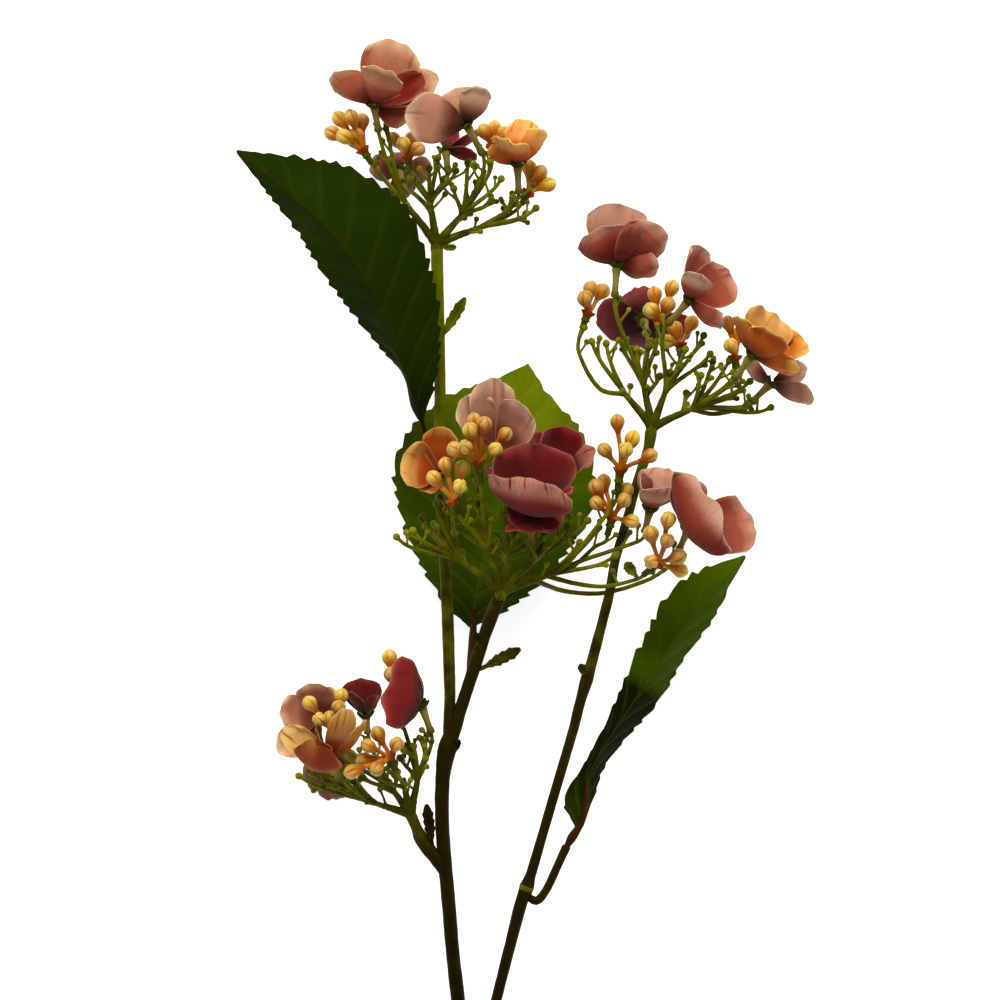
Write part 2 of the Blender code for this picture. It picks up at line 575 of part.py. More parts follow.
def petal_place(centre, tip, facing, width, cup, twist, form):
    """Rule that places a point of a petal, from its way across (-1 to 1) and along (0 to 1)."""
    reach = tip - centre
    length = reach.length
    ahead = reach / length
    level = (facing - facing.dot(ahead) * ahead).normalized()
    inward = level * math.cos(twist) + ahead.cross(level) * math.sin(twist)
    side = ahead.cross(inward)

    def place(across, along):
        along = form["start"] + (1 - form["start"]) * along
        roll = form["roll"] * width * smooth(ROLL_START, 1.0, along) ** 2
        along = along * (1 - form["round"] * along * abs(across) ** 2.5)
        half = width / 2 * petal_breadth(along, form["blunt"])
        bulge = form["bulge"] * length * 4 * along * (1 - along)
        lift = half * (1 - math.cos(cup * across)) / cup - bulge - roll
        return (centre + ahead * length * along + side * half * math.sin(cup * across) / cup
                + inward * lift)
    return place


def make_floret(name, spec):
    centre = spot(*spec["centre"])
    foot = spot(*spec["foot"])
    facing = Vector(spec["facing"]).normalized()
    down = (foot - centre).normalized()
    tube = rod([foot, centre - down * CALYX_REACH], [TUBE_RADIUS * 0.8, TUBE_RADIUS * 1.7])
    pieces = [tube]
    for tip, width, cup, twist, *own in spec["petals"]:
        form = {**PETAL_FORM, **own[0]} if own else PETAL_FORM
        place = petal_place(centre, spot(*tip), facing, width * MM, cup, twist, form)
        columns = 3 if width > BROAD_PETAL else 2
        rows = 2 if width < SMALL_PETAL else 3
        pieces.append(shaped_sheet(columns, rows, place, PETAL_THICKNESS))
    return union(name, pieces, plain_material(name + "_petals", spec["colour"], 0.6))


def orange_drop(node, middle):
    """A bud round its middle, on a thin stalk that starts at the node."""
    stalk = BUD_STALK_RADIUS
    belly = ORANGE_BUD_RADIUS
    tip = middle + (middle - node).normalized() * belly * 1.05
    size = belly / (tip - node).length
    profile = [(0, 0), (0, stalk), (max(0.02, 1 - 2.4 * size), stalk * 1.1),
               (1 - 1.4 * size, belly), (1 - 0.3 * size, belly * 0.7), (1, 0)]
    return turned_drop(node, tip, profile, ORANGE_BUD_SIDES)


def make_bunch(name, spec):
    foot, node, buds = spec
    foot = spot(*foot)
    node = spot(*node)
    stalk = BUD_STALK_RADIUS
    pieces = [rod([foot, foot.lerp(node, 0.7), node + (node - foot) * 0.1],
                  [stalk * 1.2, stalk * 1.5, stalk * 2.2])]
    for bud in buds:
        pieces.append(orange_drop(node, spot(*bud)))
    return union(name, pieces, plain_material(name + "_orange", BUD_ORANGE, 0.4))


def rail_point(points, fraction):
    """A point at a fraction of the length of a smooth curve through the points."""
    ways = [0.0]
    for start, end in zip(points, points[1:]):
        ways.append(ways[-1] + (end - start).length)
    way = fraction * ways[-1]
    index = 0
    while index < len(points) - 2 and way > ways[index + 1]:
        index += 1
    span = ways[index + 1] - ways[index]
    t = (way - ways[index]) / span

    def slope(i):
        low = max(i - 1, 0)
        high = min(i + 1, len(points) - 1)
        return (points[high] - points[low]) / (ways[high] - ways[low]) * span

    a = 2 * t ** 3 - 3 * t ** 2 + 1
    b = t ** 3 - 2 * t ** 2 + t
    c = 3 * t ** 2 - 2 * t ** 3
    d = t ** 3 - t ** 2
    return points[index] * a + slope(index) * b + points[index + 1] * c + slope(index + 1) * d


def leaf_place(spec, teeth, tooth_depth):
    """Rule that places a point of a leaf, with teeth along both edges."""
    rails = {side: [spot(*point) for point in spec[side]] for side in ("left", "middle", "right")}

    def place(across, along):
        middle = rail_point(rails["middle"], along)
        if across == 0:
            return middle
        edge = rail_point(rails["left" if across < 0 else "right"], along)
        out = edge - middle
        is_tooth = round(along * teeth * 2) % 2 == 1
        if is_tooth and abs(across) == 1 and out.length > tooth_depth:
            out += out.normalized() * tooth_depth
        return middle + out * abs(across)
    return place


def make_leaf(name, spec):
    blade = shaped_sheet(4, TEETH * 2, leaf_place(spec, TEETH, TOOTH_DEPTH), LEAF_THICKNESS)
    stalk = layout_rod(spec["stalk"])
    return union(name, [blade, stalk], plain_material(name + "_green", spec["colour"], 0.55))


def make_bract(base, tip, half_width):
    base = spot(*base)
    tip = spot(*tip)
    ahead = tip - base
    side = ahead.cross(Vector((0, 0, 1))).normalized()
    notches = (0.5, 1.0, 0.8, 0.35)

    def place(across, along):
        half = half_width * MM * notches[round(along * 3)]
        return base + ahead * along + side * half * across + Vector((0, 0, BRACT_LIFT * abs(across)))
    return shaped_sheet(2, 3, place, BRACT_THICKNESS)


def make_stem():
    pieces = [layout_rod(MAIN_STEM, 6), layout_rod(TOP_ARM, 5), layout_rod(RIGHT_ARM, 5),
              layout_rod(LOW_BRANCH, 5), layout_rod(LEAF_BRANCH)]
    for bract in BRACTS:
        pieces.append(make_bract(*bract))
    return union("stem", pieces, plain_material("stem_brown", STEM_BROWN, 0.5))


class Clearance:
    """Distance from a point to the bodies that are already in place."""

    def __init__(self, bodies):
        self.trees = []
        for body in bodies:
            bm = bmesh.new()
            bm.from_mesh(body.data)
            self.trees.append(BVHTree.FromBMesh(bm))
            bm.free()

    def at(self, point):
        return min(tree.find_nearest(point)[3] for tree in self.trees)

    def along(self, points):
        return min(self.at(point) for point in points)


def ray_points(start, ahead, foot, arrival, via, bow, steps):
    """Points of a ray that leaves start the way ahead, fans out and turns up to its foot."""
    if via:
        knots = [start] + via + [foot - arrival * RAY_END, foot]
        return [rail_point(knots, step / steps) for step in range(steps + 1)]
    length = (foot - start).length
    first = start + (ahead * 0.5 + (foot - start) / length * 0.5) * length * 0.35 + bow
    second = foot - arrival * length * 0.3 + bow
    points = []
    for step in range(steps + 1):
        t = step / steps
        points.append(start * (1 - t) ** 3 + first * 3 * t * (1 - t) ** 2
                      + second * 3 * t ** 2 * (1 - t) + foot * t ** 3)
    return points


def clear_ray(clearance, start, ahead, foot, arrival, via, steps):
    """The least bowed ray that keeps clear of the other bodies."""
    best = None
    up = Vector((0, 0, 1))
    across = ahead.cross(up).normalized()
    for size in RAY_BOWS:
        for turn in range(8 if size else 1):
            angle = turn * math.tau / 8
            bow = (across * math.cos(angle) + up * math.sin(angle)) * size * MM
            tested = ray_points(start, ahead, foot, arrival, via, bow, CLEARANCE_STEPS)[3:-2]
            room = clearance.along(tested)
            if best is None or room > best[0]:
                best = (room, ray_points(start, ahead, foot, arrival, via, bow, steps))
            if room > RAY_RADII[0] + RAY_CLEARANCE:
                return ray_points(start, ahead, foot, arrival, via, bow, steps)
    return best[1]


def fork(limbs, foot):
    """Where a ray leaves the limbs, and the way there: the least bend for the least length."""
    best = None
    for limb in limbs:
        for way in LIMB_STARTS:
            start = rail_point(limb, way)
            ahead = (rail_point(limb, way + 0.03) - rail_point(limb, way - 0.03)).normalized()
            reach = foot - start
            cost = reach.length * (1 + LIMB_BEND * (1 - reach.normalized().dot(ahead)))
            if best is None or cost < best[0]:
                best = (cost, start, ahead)
    return best[1:]


def head_feet(head):
    """Feet on the rays of a head, with the way each ray arrives there."""
    feet = []
    for name, spec in FLORETS.items():
        if "_" + head + "_" in name:
            foot = spot(*spec["foot"])
            arrival = (spot(*spec["centre"]) - foot).normalized()
            feet.append((name, foot - arrival * SEAT_GAP, arrival))
    for name, (foot, node, _) in BUNCHES.items():
        if "_" + head + "_" in name:
            arrival = (spot(*node) - spot(*foot)).normalized()
            feet.append((name, spot(*foot) - arrival * SEAT_GAP, arrival))
    return feet


def tapered(points, ends):
    """A radius for each point, from the first of ends to the second."""
    last = len(points) - 1
    return [ends[0] + (ends[1] - ends[0]) * step / last for step in range(last + 1)]


def head_limbs(spec, clearance):
    """Thick limbs that fan out from the hub."""
    hub = spot(*spec["hub"])
    growth = Vector(spec["growth"]).normalized()
    limbs = []
    for end in spec["limbs"]:
        way = (spot(*end) - hub).normalized()
        ahead = (way + growth * 0.5).normalized()
        start = hub + ahead * HUB_SINK
        limbs.append(clear_ray(clearance, start, ahead, spot(*end), way, [], RAY_STEPS))
    return limbs


def budded_ray(points):
    """Rod along a ray that ends in a green bud."""
    radii = tapered(points, RAY_RADII)
    ahead = (points[-1] - points[-2]).normalized() * GREEN_BUD_RADIUS
    points = points + [points[-1] + ahead * 0.9, points[-1] + ahead * 2]
    return rod(points, radii + [GREEN_BUD_RADIUS * 1.1, GREEN_BUD_RADIUS * 0.4], 3)


def make_cyme(head, spec, bodies, chance):
    hub = spot(*spec["hub"])
    growth = Vector(spec["growth"]).normalized()
    clearance = Clearance(bodies)
    pieces = [rod([hub - growth * HUB_REACH, hub + growth * HUB_REACH],
                  [HUB_RADIUS, HUB_RADIUS * 0.9], 6)]
    limbs = head_limbs(spec, clearance)
    for limb in limbs:
        pieces.append(rod(limb, tapered(limb, LIMB_RADII)))
    rays = []
    for name, foot, arrival in head_feet(head):
        via = [spot(*point) for point in spec["via"].get(name, [])]
        start, ahead = fork(limbs, via[0] if via else foot)
        steps = LONG_RAY_STEPS if via else RAY_STEPS
        rays.append(clear_ray(clearance, start, ahead, foot, arrival, via, steps))
        pieces.append(rod(rays[-1], tapered(rays[-1], RAY_RADII), 3))
    for tip in spec["green_tips"]:
        tip = spot(*tip)
        start, ahead = fork(limbs, tip)
        arrival = ((tip - start).normalized() + growth * 0.6).normalized()
        rays.append(clear_ray(clearance, start, ahead, tip, arrival, [], RAY_STEPS))
        pieces.append(budded_ray(rays[-1]))
    pieces += branchlets(rays, growth, clearance, chance)
    return union("cyme_" + head, pieces, plain_material("cyme_" + head + "_green", CYME_GREEN, 0.45))


def branchlets(rays, growth, clearance, chance):
    """Short twigs with a green bud each, wherever a ray has room for them."""
    pieces = []
    taken = []
    for way in BRANCHLET_STARTS:
        for ray in rays:
            if len(taken) == BRANCHLETS:
                return pieces
            start = rail_point(ray, way)
            ahead = (rail_point(ray, way + 0.05) - start).normalized()
            for _ in range(6):
                aside = Vector([chance.uniform(-1, 1) for _ in range(3)]).normalized()
                lean = (ahead * 0.5 + growth * 0.4 + aside * 0.75).normalized()
                end = start + lean * chance.uniform(*BRANCHLET_LENGTHS) * MM
                room = clearance.along([start.lerp(end, 0.5), start.lerp(end, 0.8), end])
                apart = min([(end - other).length for other in taken], default=1)
                is_clear = room > GREEN_BUD_RADIUS + RAY_CLEARANCE and apart > BRANCHLET_GAP
                if is_clear and end.z > BRANCHLET_LOWEST:
                    pieces.append(turned_drop(start, end + lean * GREEN_BUD_RADIUS, GREEN_DROP, 3))
                    taken.append(end)
                    break
    return pieces


def main():
    clear_scene()
    chance = random.Random(SEED)
    bodies = [make_stem()]
    for name, spec in LEAVES.items():
        bodies.append(make_leaf(name, spec))
    for name, spec in FLORETS.items():
        bodies.append(make_floret(name, spec))
    for name, spec in BUNCHES.items():
        bodies.append(make_bunch(name, spec))
    for head, spec in HEADS.items():
        bodies.append(make_cyme(head, spec, bodies, chance))


main()
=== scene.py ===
import math
import random

import bmesh
import bpy
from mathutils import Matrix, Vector, noise
from mathutils.bvhtree import BVHTree


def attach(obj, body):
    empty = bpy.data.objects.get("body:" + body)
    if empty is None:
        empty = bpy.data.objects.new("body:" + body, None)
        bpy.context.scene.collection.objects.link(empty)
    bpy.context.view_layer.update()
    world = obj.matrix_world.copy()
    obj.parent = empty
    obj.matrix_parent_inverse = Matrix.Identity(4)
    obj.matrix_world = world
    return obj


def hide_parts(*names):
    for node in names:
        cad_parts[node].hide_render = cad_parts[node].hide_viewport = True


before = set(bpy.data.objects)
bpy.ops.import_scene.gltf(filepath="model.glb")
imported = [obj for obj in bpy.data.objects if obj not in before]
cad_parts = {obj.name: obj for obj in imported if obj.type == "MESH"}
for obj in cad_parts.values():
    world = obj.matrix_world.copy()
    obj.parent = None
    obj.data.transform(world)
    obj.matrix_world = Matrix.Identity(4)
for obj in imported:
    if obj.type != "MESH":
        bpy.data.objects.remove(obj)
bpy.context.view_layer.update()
print("frame loaded with", len(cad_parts), "nodes")

# Points are (across, down, height): steps of the layout sheet, and millimetres above the surface
layout = {"mm": 0.001, "step": 0.0004, "originAcross": 527.5, "originDown": 620.0}


def spot(across, down, height):
    return Vector(((across - layout["originAcross"]) * layout["step"],
                   (layout["originDown"] - down) * layout["step"], height * layout["mm"]))


def smooth(low, high, value):
    # eases from 0 at low to 1 at high
    t = min(max((value - low) / (high - low), 0), 1)
    return t * t * (3 - 2 * t)


def wayMarks(points):
    # length of the line through the points, up to each of them
    ways = [0.0]
    for start, end in zip(points, points[1:]):
        ways.append(ways[-1] + (end - start).length)
    return ways


def railPoint(points, fraction):
    # a point at a fraction of the length of a smooth curve through the points
    ways = wayMarks(points)
    way = fraction * ways[-1]
    index = 0
    while index < len(points) - 2 and way > ways[index + 1]:
        index += 1
    span = ways[index + 1] - ways[index]
    t = (way - ways[index]) / span

    def slope(i):
        low = max(i - 1, 0)
        high = min(i + 1, len(points) - 1)
        return (points[high] - points[low]) / (ways[high] - ways[low]) * span

    a = 2 * t ** 3 - 3 * t ** 2 + 1
    b = t ** 3 - 2 * t ** 2 + t
    c = 3 * t ** 2 - 2 * t ** 3
    d = t ** 3 - t ** 2
    return points[index] * a + slope(index) * b + points[index + 1] * c + slope(index + 1) * d


# Colour and node helpers
def toLinear(code):
    channels = []
    for start in (1, 3, 5):
        value = int(code[start:start + 2], 16) / 255
        channels.append(value / 12.92 if value <= 0.04045 else ((value + 0.055) / 1.055) ** 2.4)
    return (*channels, 1)


def addNode(tree, kind, inputs=None, out=0, stops=(), **settings):
    # adds one node and gives its output; an input takes a number, a hex colour or another
    # node's output, stops are a ramp's (place, hex colour), settings are the node's own values
    node = tree.nodes.new("ShaderNode" + kind)
    for key, value in settings.items():
        setattr(node, key, value)
    for key, value in (inputs or {}).items():
        if isinstance(value, bpy.types.NodeSocket):
            tree.links.new(value, node.inputs[key])
        else:
            node.inputs[key].default_value = toLinear(value) if isinstance(value, str) else value
    for place, _ in stops[1:-1]:
        node.color_ramp.elements.new(place)
    for index, (place, code) in enumerate(stops):
        stop = node.color_ramp.elements[index]
        stop.position = place
        stop.color = toLinear(code)
    return node.outputs[out]


def newMaterial(name, settings):
    material = bpy.data.materials.new(name)
    material.use_nodes = True
    shader = material.node_tree.nodes["Principled BSDF"]
    for key, value in settings.items():
        shader.inputs[key].default_value = value
    return material, material.node_tree, shader


def surfaceMarks(tree):
    # marks on the mesh: tone of each repeat, side or way along, and relief; s and t run over the sheet
    mark = addNode(tree, "Attribute", out="Vector", attribute_name="mark")
    mark = addNode(tree, "SeparateXYZ", {"Vector": mark}).node.outputs
    coords = addNode(tree, "TexCoord").node.outputs
    sheet = addNode(tree, "SeparateXYZ", {"Vector": coords["UV"]}).node.outputs
    return {"tone": mark["X"], "side": mark["Y"], "relief": mark["Z"], "s": sheet["X"],
            "t": sheet["Y"], "sheet": coords["UV"], "object": coords["Object"]}


def perMetre(size):
    # scale of a pattern whose spots or cells have this size in millimetres
    return 1 / (size * layout["mm"])


def perSheet(sheet, cell):
    # scale of a pattern of cells this broad and long, laid on a sheet this broad and long
    return (sheet[0] / cell[0], sheet[1] / cell[1], 1)


def dressShader(tree, shader, colour, heights):
    # the colour, and relief too fine for the mesh: (height, strength, depth in millimetres)
    tree.links.new(colour, shader.inputs["Base Color"])
    below = {}
    for height, strength, depth in heights:
        normal = addNode(tree, "Bump", {"Height": height, "Strength": strength,
                                        "Distance": depth * layout["mm"], **below})
        below = {"Normal": normal}
    tree.links.new(normal, shader.inputs["Normal"])


toneShift = {"share": 0.22, "base": 0.89}  # how far a petal's tone mark changes its brightness
sheetSizes = {"petal": (21.6, 14.4), "stem": (15, 280)}  # usual breadth and length in millimetres


def dyedPolyester(name, heart, body, lit, rim):
    # woven polyester satin, dyed and heat pressed: soft sheen, fine pressed creases along the petal; the
    # colour deepens at the heart, partly dye and partly painted shade, and pales to a painted lit tone at
    # the tip;
    # the pale rim is partly frayed threads and partly painted rim light, with painted highlights and shade
    material, tree, shader = newMaterial(name, {
        "Roughness": 0.7, "IOR": 1.45, "Specular IOR Level": 0.15, "Sheen Weight": 0.06,
        "Sheen Roughness": 0.5, "Subsurface Weight": 0.1, "Subsurface Radius": (0.004, 0.0012, 0.0008),
        "Subsurface Scale": 0.5})
    marks = surfaceMarks(tree)
    # dye blotches of 8 mm, painted fold shade in patches of 18 mm, and streaks 0.4 mm broad and 2 mm long
    blotch = addNode(tree, "TexNoise", {"Vector": marks["object"], "Scale": perMetre(8.333), "Detail": 3})
    paintedFoldShade = addNode(tree, "TexNoise", {"Vector": marks["object"], "Scale": perMetre(18.18), "Detail": 2})
    pulled = addNode(tree, "Mapping", {
        "Vector": marks["sheet"], "Scale": perSheet(sheetSizes["petal"], (0.4, 2))})
    streak = addNode(tree, "TexNoise", {"Vector": pulled, "Scale": 1, "Detail": 4})
    # the colour pales from the heart to the tip, unevenly: partly the dye, partly painted shade at the
    # heart and painted light toward the tip; the two darkest olive stops at the base are the calyx green
    # deepened by painted shade
    way = marks["t"]
    for pattern, share in ((blotch, 0.22), (streak, 0.1), (paintedFoldShade, 0.3)):
        way = addNode(tree, "Math", {0: pattern, 1: share, 2: way}, operation="MULTIPLY_ADD")
    way = addNode(tree, "Math", {0: way, 1: 0.31}, operation="SUBTRACT")
    colour = addNode(tree, "ValToRGB", {"Fac": way}, stops=[
        (0.0, "#161A00"), (0.1, "#2A2400"), (0.2, heart), (0.5, body), (0.74, body), (0.98, lit)])
    # painted shade on the inner face of the petal, deepest near the heart
    paintedInnerShade = addNode(tree, "Math", {0: 0.8, 1: way}, operation="SUBTRACT", use_clamp=True)
    paintedInnerShade = addNode(tree, "Math", {0: marks["side"], 1: paintedInnerShade}, operation="MULTIPLY")
    # paler at the cut edge, at both sides and at the tip: partly frayed threads, partly painted rim light
    edge = addNode(tree, "Math", {0: marks["s"], 1: 0.5}, operation="SUBTRACT")
    edge = addNode(tree, "Math", {0: edge}, operation="ABSOLUTE")
    edge = addNode(tree, "Math", {0: edge, 1: 2}, operation="MULTIPLY")
    edge = addNode(tree, "Math", {0: edge, 1: marks["t"]}, operation="MAXIMUM")
    edge = addNode(tree, "Math", {0: edge, 1: 22}, operation="POWER", use_clamp=True)
    edge = addNode(tree, "Math", {0: edge, 1: blotch}, operation="MULTIPLY")
    edge = addNode(tree, "Math", {0: edge, 1: 0.7}, operation="MULTIPLY")
    # relief below zero paints a sheen highlight in the rim colour; above zero it paints shade in the
    # heart colour, in a crease or as a painted shadow
    paintedShine = addNode(tree, "Math", {0: streak, 1: 1.4}, operation="SUBTRACT")
    paintedShine = addNode(tree, "Math", {0: marks["relief"], 1: paintedShine}, operation="MULTIPLY", use_clamp=True)
    deep = addNode(tree, "Math", {0: marks["relief"], 1: 0.6}, operation="MULTIPLY", use_clamp=True)
    for share, layer in ((paintedInnerShade, heart), (edge, rim), (paintedShine, rim), (deep, heart)):
        colour = addNode(tree, "Mix", {0: share, 6: colour, 7: layer}, 2, data_type="RGBA")
    # brightness from the tone mark: a random tone per petal and its level, partly dye, partly painted light
    # and shade
    tone = addNode(tree, "Math", {0: marks["tone"], 1: toneShift["share"], 2: toneShift["base"]},
                   operation="MULTIPLY_ADD")
    colour = addNode(tree, "HueSaturation", {"Color": colour, "Value": tone})
    # thread spacing is about 0.2 mm; drawn at 0.45 mm so that it shows at all
    weave = addNode(tree, "TexVoronoi", {
        "Vector": marks["object"], "Scale": perMetre(0.4545), "Randomness": 0.35})
    pulled = addNode(tree, "Mapping", {
        "Vector": marks["sheet"], "Scale": perSheet(sheetSizes["petal"], (0.2571, 2.571))})
    crease = addNode(tree, "TexNoise", {"Vector": pulled, "Scale": 1, "Detail": 3})
    dressShader(tree, shader, colour, [(weave, 0.25, 0.15), (crease, 0.5, 0.6)])
    return material


def printedLeafCloth(name, dark, body, bright, vein, under):
    # printed polyester leaf, pressed with its veins and coated: dull gloss, mottled print
    material, tree, shader = newMaterial(name, {
        "Roughness": 0.6, "IOR": 1.46, "Specular IOR Level": 0.02})
    marks = surfaceMarks(tree)
    # printed mottle of 26 mm and pressed grain of 1 mm
    blotch = addNode(tree, "TexNoise", {"Vector": marks["object"], "Scale": perMetre(26.32), "Detail": 4})
    grain = addNode(tree, "TexNoise", {"Vector": marks["object"], "Scale": perMetre(1.111), "Detail": 2})
    # the tone mark carries the painted light and shade along the leaf
    shade = marks["tone"]
    for pattern, share in ((blotch, 0.5), (grain, 0.12)):
        shade = addNode(tree, "Math", {0: pattern, 1: share, 2: shade}, operation="MULTIPLY_ADD")
    shade = addNode(tree, "Math", {0: shade, 1: 0.31}, operation="SUBTRACT")
    colour = addNode(tree, "ValToRGB", {"Fac": shade}, stops=[(0.1, dark), (0.5, body), (0.9, bright)])
    veined = addNode(tree, "Math", {0: marks["relief"], 1: 0.3}, operation="MULTIPLY", use_clamp=True)
    below = addNode(tree, "Math", {0: 1, 1: marks["side"]}, operation="SUBTRACT", use_clamp=True)
    for share, layer in ((veined, vein), (below, under)):
        colour = addNode(tree, "Mix", {0: share, 6: colour, 7: layer}, 2, data_type="RGBA")
    # the net of small veins has cells of about 1.5 mm
    net = addNode(tree, "TexVoronoi", {"Vector": marks["object"], "Scale": perMetre(1.538)},
                  feature="DISTANCE_TO_EDGE")
    dressShader(tree, shader, colour, [(net, 0.35, 0.3), (grain, 0.3, 0.2)])
    return material


def mouldedPolyethylene(name, dark, body, light, roughness):
    # moulded polyethylene, soft and a little waxy: long flow streaks, greasy highlights
    material, tree, shader = newMaterial(name, {
        "Roughness": roughness, "IOR": 1.5, "Specular IOR Level": 0.04})
    marks = surfaceMarks(tree)
    # blotches of 7 mm, and flow streaks 0.6 mm broad that run down the stem
    blotch = addNode(tree, "TexNoise", {"Vector": marks["object"], "Scale": perMetre(6.667), "Detail": 4})
    pulled = addNode(tree, "Mapping", {
        "Vector": marks["sheet"], "Scale": perSheet(sheetSizes["stem"], (0.6, 93.33))})
    streak = addNode(tree, "TexNoise", {"Vector": pulled, "Scale": 1, "Detail": 3})
    shade = marks["side"]
    for pattern, share in ((blotch, 0.55), (streak, 0.35)):
        shade = addNode(tree, "Math", {0: pattern, 1: share, 2: shade}, operation="MULTIPLY_ADD")
    shade = addNode(tree, "Math", {0: shade, 1: 0.45}, operation="SUBTRACT")
    colour = addNode(tree, "ValToRGB", {"Fac": shade}, stops=[(0.05, dark), (0.45, body), (0.95, light)])
    # the relief mark darkens the colour; at the top of a floret tube this is painted shade
    deep = addNode(tree, "Math", {0: marks["relief"], 1: 0.8}, operation="MULTIPLY", use_clamp=True)
    colour = addNode(tree, "Mix", {0: deep, 6: colour, 7: dark}, 2, data_type="RGBA")
    # the mould's grit is finer than 0.1 mm; drawn at 0.8 mm so that it shows
    pores = addNode(tree, "TexNoise", {"Vector": marks["object"], "Scale": perMetre(0.7692), "Detail": 2})
    dressShader(tree, shader, colour, [(streak, 0.4, 0.4), (pores, 0.3, 0.15)])
    return material


def lacqueredFoam(name, seam, low, body, top):
    # moulded foam bud, airbrushed from cream to orange and lacquered: soft gloss, red seams
    material, tree, shader = newMaterial(name, {
        "Roughness": 0.42, "IOR": 1.48, "Specular IOR Level": 0.35, "Subsurface Weight": 0.12,
        "Subsurface Radius": (0.003, 0.0015, 0.0006), "Subsurface Scale": 0.5})
    marks = surfaceMarks(tree)
    # airbrushed clouds of 4 mm
    blotch = addNode(tree, "TexNoise", {"Vector": marks["object"], "Scale": perMetre(3.846), "Detail": 3})
    way = addNode(tree, "Math", {0: blotch, 1: 0.5, 2: marks["side"]}, operation="MULTIPLY_ADD")
    way = addNode(tree, "Math", {0: way, 1: 0.25}, operation="SUBTRACT")
    colour = addNode(tree, "ValToRGB", {"Fac": way}, stops=[(0.05, low), (0.45, body), (0.85, top)])
    red = addNode(tree, "Math", {0: marks["relief"], 1: 0.55}, operation="MULTIPLY", use_clamp=True)
    colour = addNode(tree, "Mix", {0: red, 6: colour, 7: seam}, 2, data_type="RGBA")
    hue = addNode(tree, "Math", {0: marks["tone"], 1: -0.04, 2: 0.515}, operation="MULTIPLY_ADD")
    tone = addNode(tree, "Math", {0: marks["tone"], 1: -0.3, 2: 1.04}, operation="MULTIPLY_ADD")
    colour = addNode(tree, "HueSaturation", {
        "Color": colour, "Hue": hue, "Value": tone, "Saturation": 1.02})
    # foam cells are about 0.3 mm; drawn at 0.7 mm so that they show
    pores = addNode(tree, "TexNoise", {"Vector": marks["object"], "Scale": perMetre(0.6667), "Detail": 2})
    dressShader(tree, shader, colour, [(pores, 0.25, 0.12)])
    return material


def litAcrylic():
    # opal acrylic lit from below: matt and evenly white, so that shadows stay faint
    material, tree, shader = newMaterial("opal_acrylic_sheet", {
        "Roughness": 0.95, "IOR": 1.4, "Emission Color": toLinear("#F4F8FF"),
        "Emission Strength": studio["floorGlow"]})
    flat = addNode(tree, "TexCoord", out="Object")
    cloud = addNode(tree, "TexNoise", {"Vector": flat, "Scale": perMetre(16.67), "Detail": 3})
    white = addNode(tree, "ValToRGB", {"Fac": cloud}, stops=[(0.3, "#F6F6F4"), (0.7, "#F9F9F7")])
    tree.links.new(white, shader.inputs["Base Color"])
    return material


studio = {
    "floorSize": 9.0, "floorGlow": 0.8, "world": 0.36, "worldColour": "#FFF6E2",
    "keyPower": 190, "keySize": 2.0, "keyPlace": (-0.2, 3.2, 2.8), "keyColour": "#FFF1D4",
    "fillPower": 8, "fillSize": 3.0, "fillPlace": (0.0, -3.0, 2.6), "fillColour": "#FFF8EC",
    "lightAim": (0, 0.02, 0.03),
    "lens": 270.2, "sensor": 36.0, "cameraPlace": (-0.011, 0.0484, 3.04),
}
materials = {
    # petal colours: heart, body, a painted lit tone, and the pale rim colour, which also paints sheen
    # highlights
    "pink": dyedPolyester("polyester_petal_pink", "#6E1A12", "#9A5240", "#C6948A", "#D4B4A4"),
    "salmon": dyedPolyester("polyester_petal_salmon", "#741C10", "#A25A44", "#C8A88A", "#DCC4A2"),
    "mauve": dyedPolyester("polyester_petal_mauve", "#5E2820", "#B28270", "#D2B09E", "#E2CEB2"),
    "crimson": dyedPolyester("polyester_petal_crimson", "#34060A", "#6C161A", "#842026", "#C69484"),
    "orange": dyedPolyester("polyester_petal_orange", "#862C02", "#AE5A12", "#D29E48", "#E6CE8A"),
    "stem": mouldedPolyethylene("moulded_stem_brown", "#141000", "#2A2400", "#6A7800", 0.52),
    "stalk": mouldedPolyethylene("moulded_stalk_russet", "#1C0C00", "#442806", "#544A0C", 0.5),
    "cyme": mouldedPolyethylene("moulded_ray_green", "#3C4000", "#848A04", "#C4CA34", 0.4),
    "calyx": mouldedPolyethylene("moulded_calyx_green", "#242800", "#4A5000", "#7A8010", 0.5),
    "tube": mouldedPolyethylene("moulded_tube_pale", "#4A4A08", "#8A7C40", "#B8AC78", 0.5),
    "collar": mouldedPolyethylene("moulded_collar_orange", "#8A2A04", "#CC5A14", "#E89440", 0.45),
    "bud": lacqueredFoam("lacquered_bud_orange", "#B83C0A", "#AC6204", "#C6881E", "#DAC264"),
    # three copies of one printed leaf cloth, darker and brighter: painted shade and painted light for each
    # leaf
    "leafDark": printedLeafCloth("printed_leaf_painted_shade", "#101C00", "#1C2E00", "#364A00", "#405400",
                                 "#141C00"),
    "leafBright": printedLeafCloth("printed_leaf_painted_light", "#1C2A00", "#385000", "#70840C", "#5C7004",
                                   "#222E00"),
    "leafTwisted": printedLeafCloth("printed_leaf_painted_mid_light", "#121A00", "#3A5200", "#526C02", "#5A6C08",
                                    "#0C1000"),
}
print("materials made")


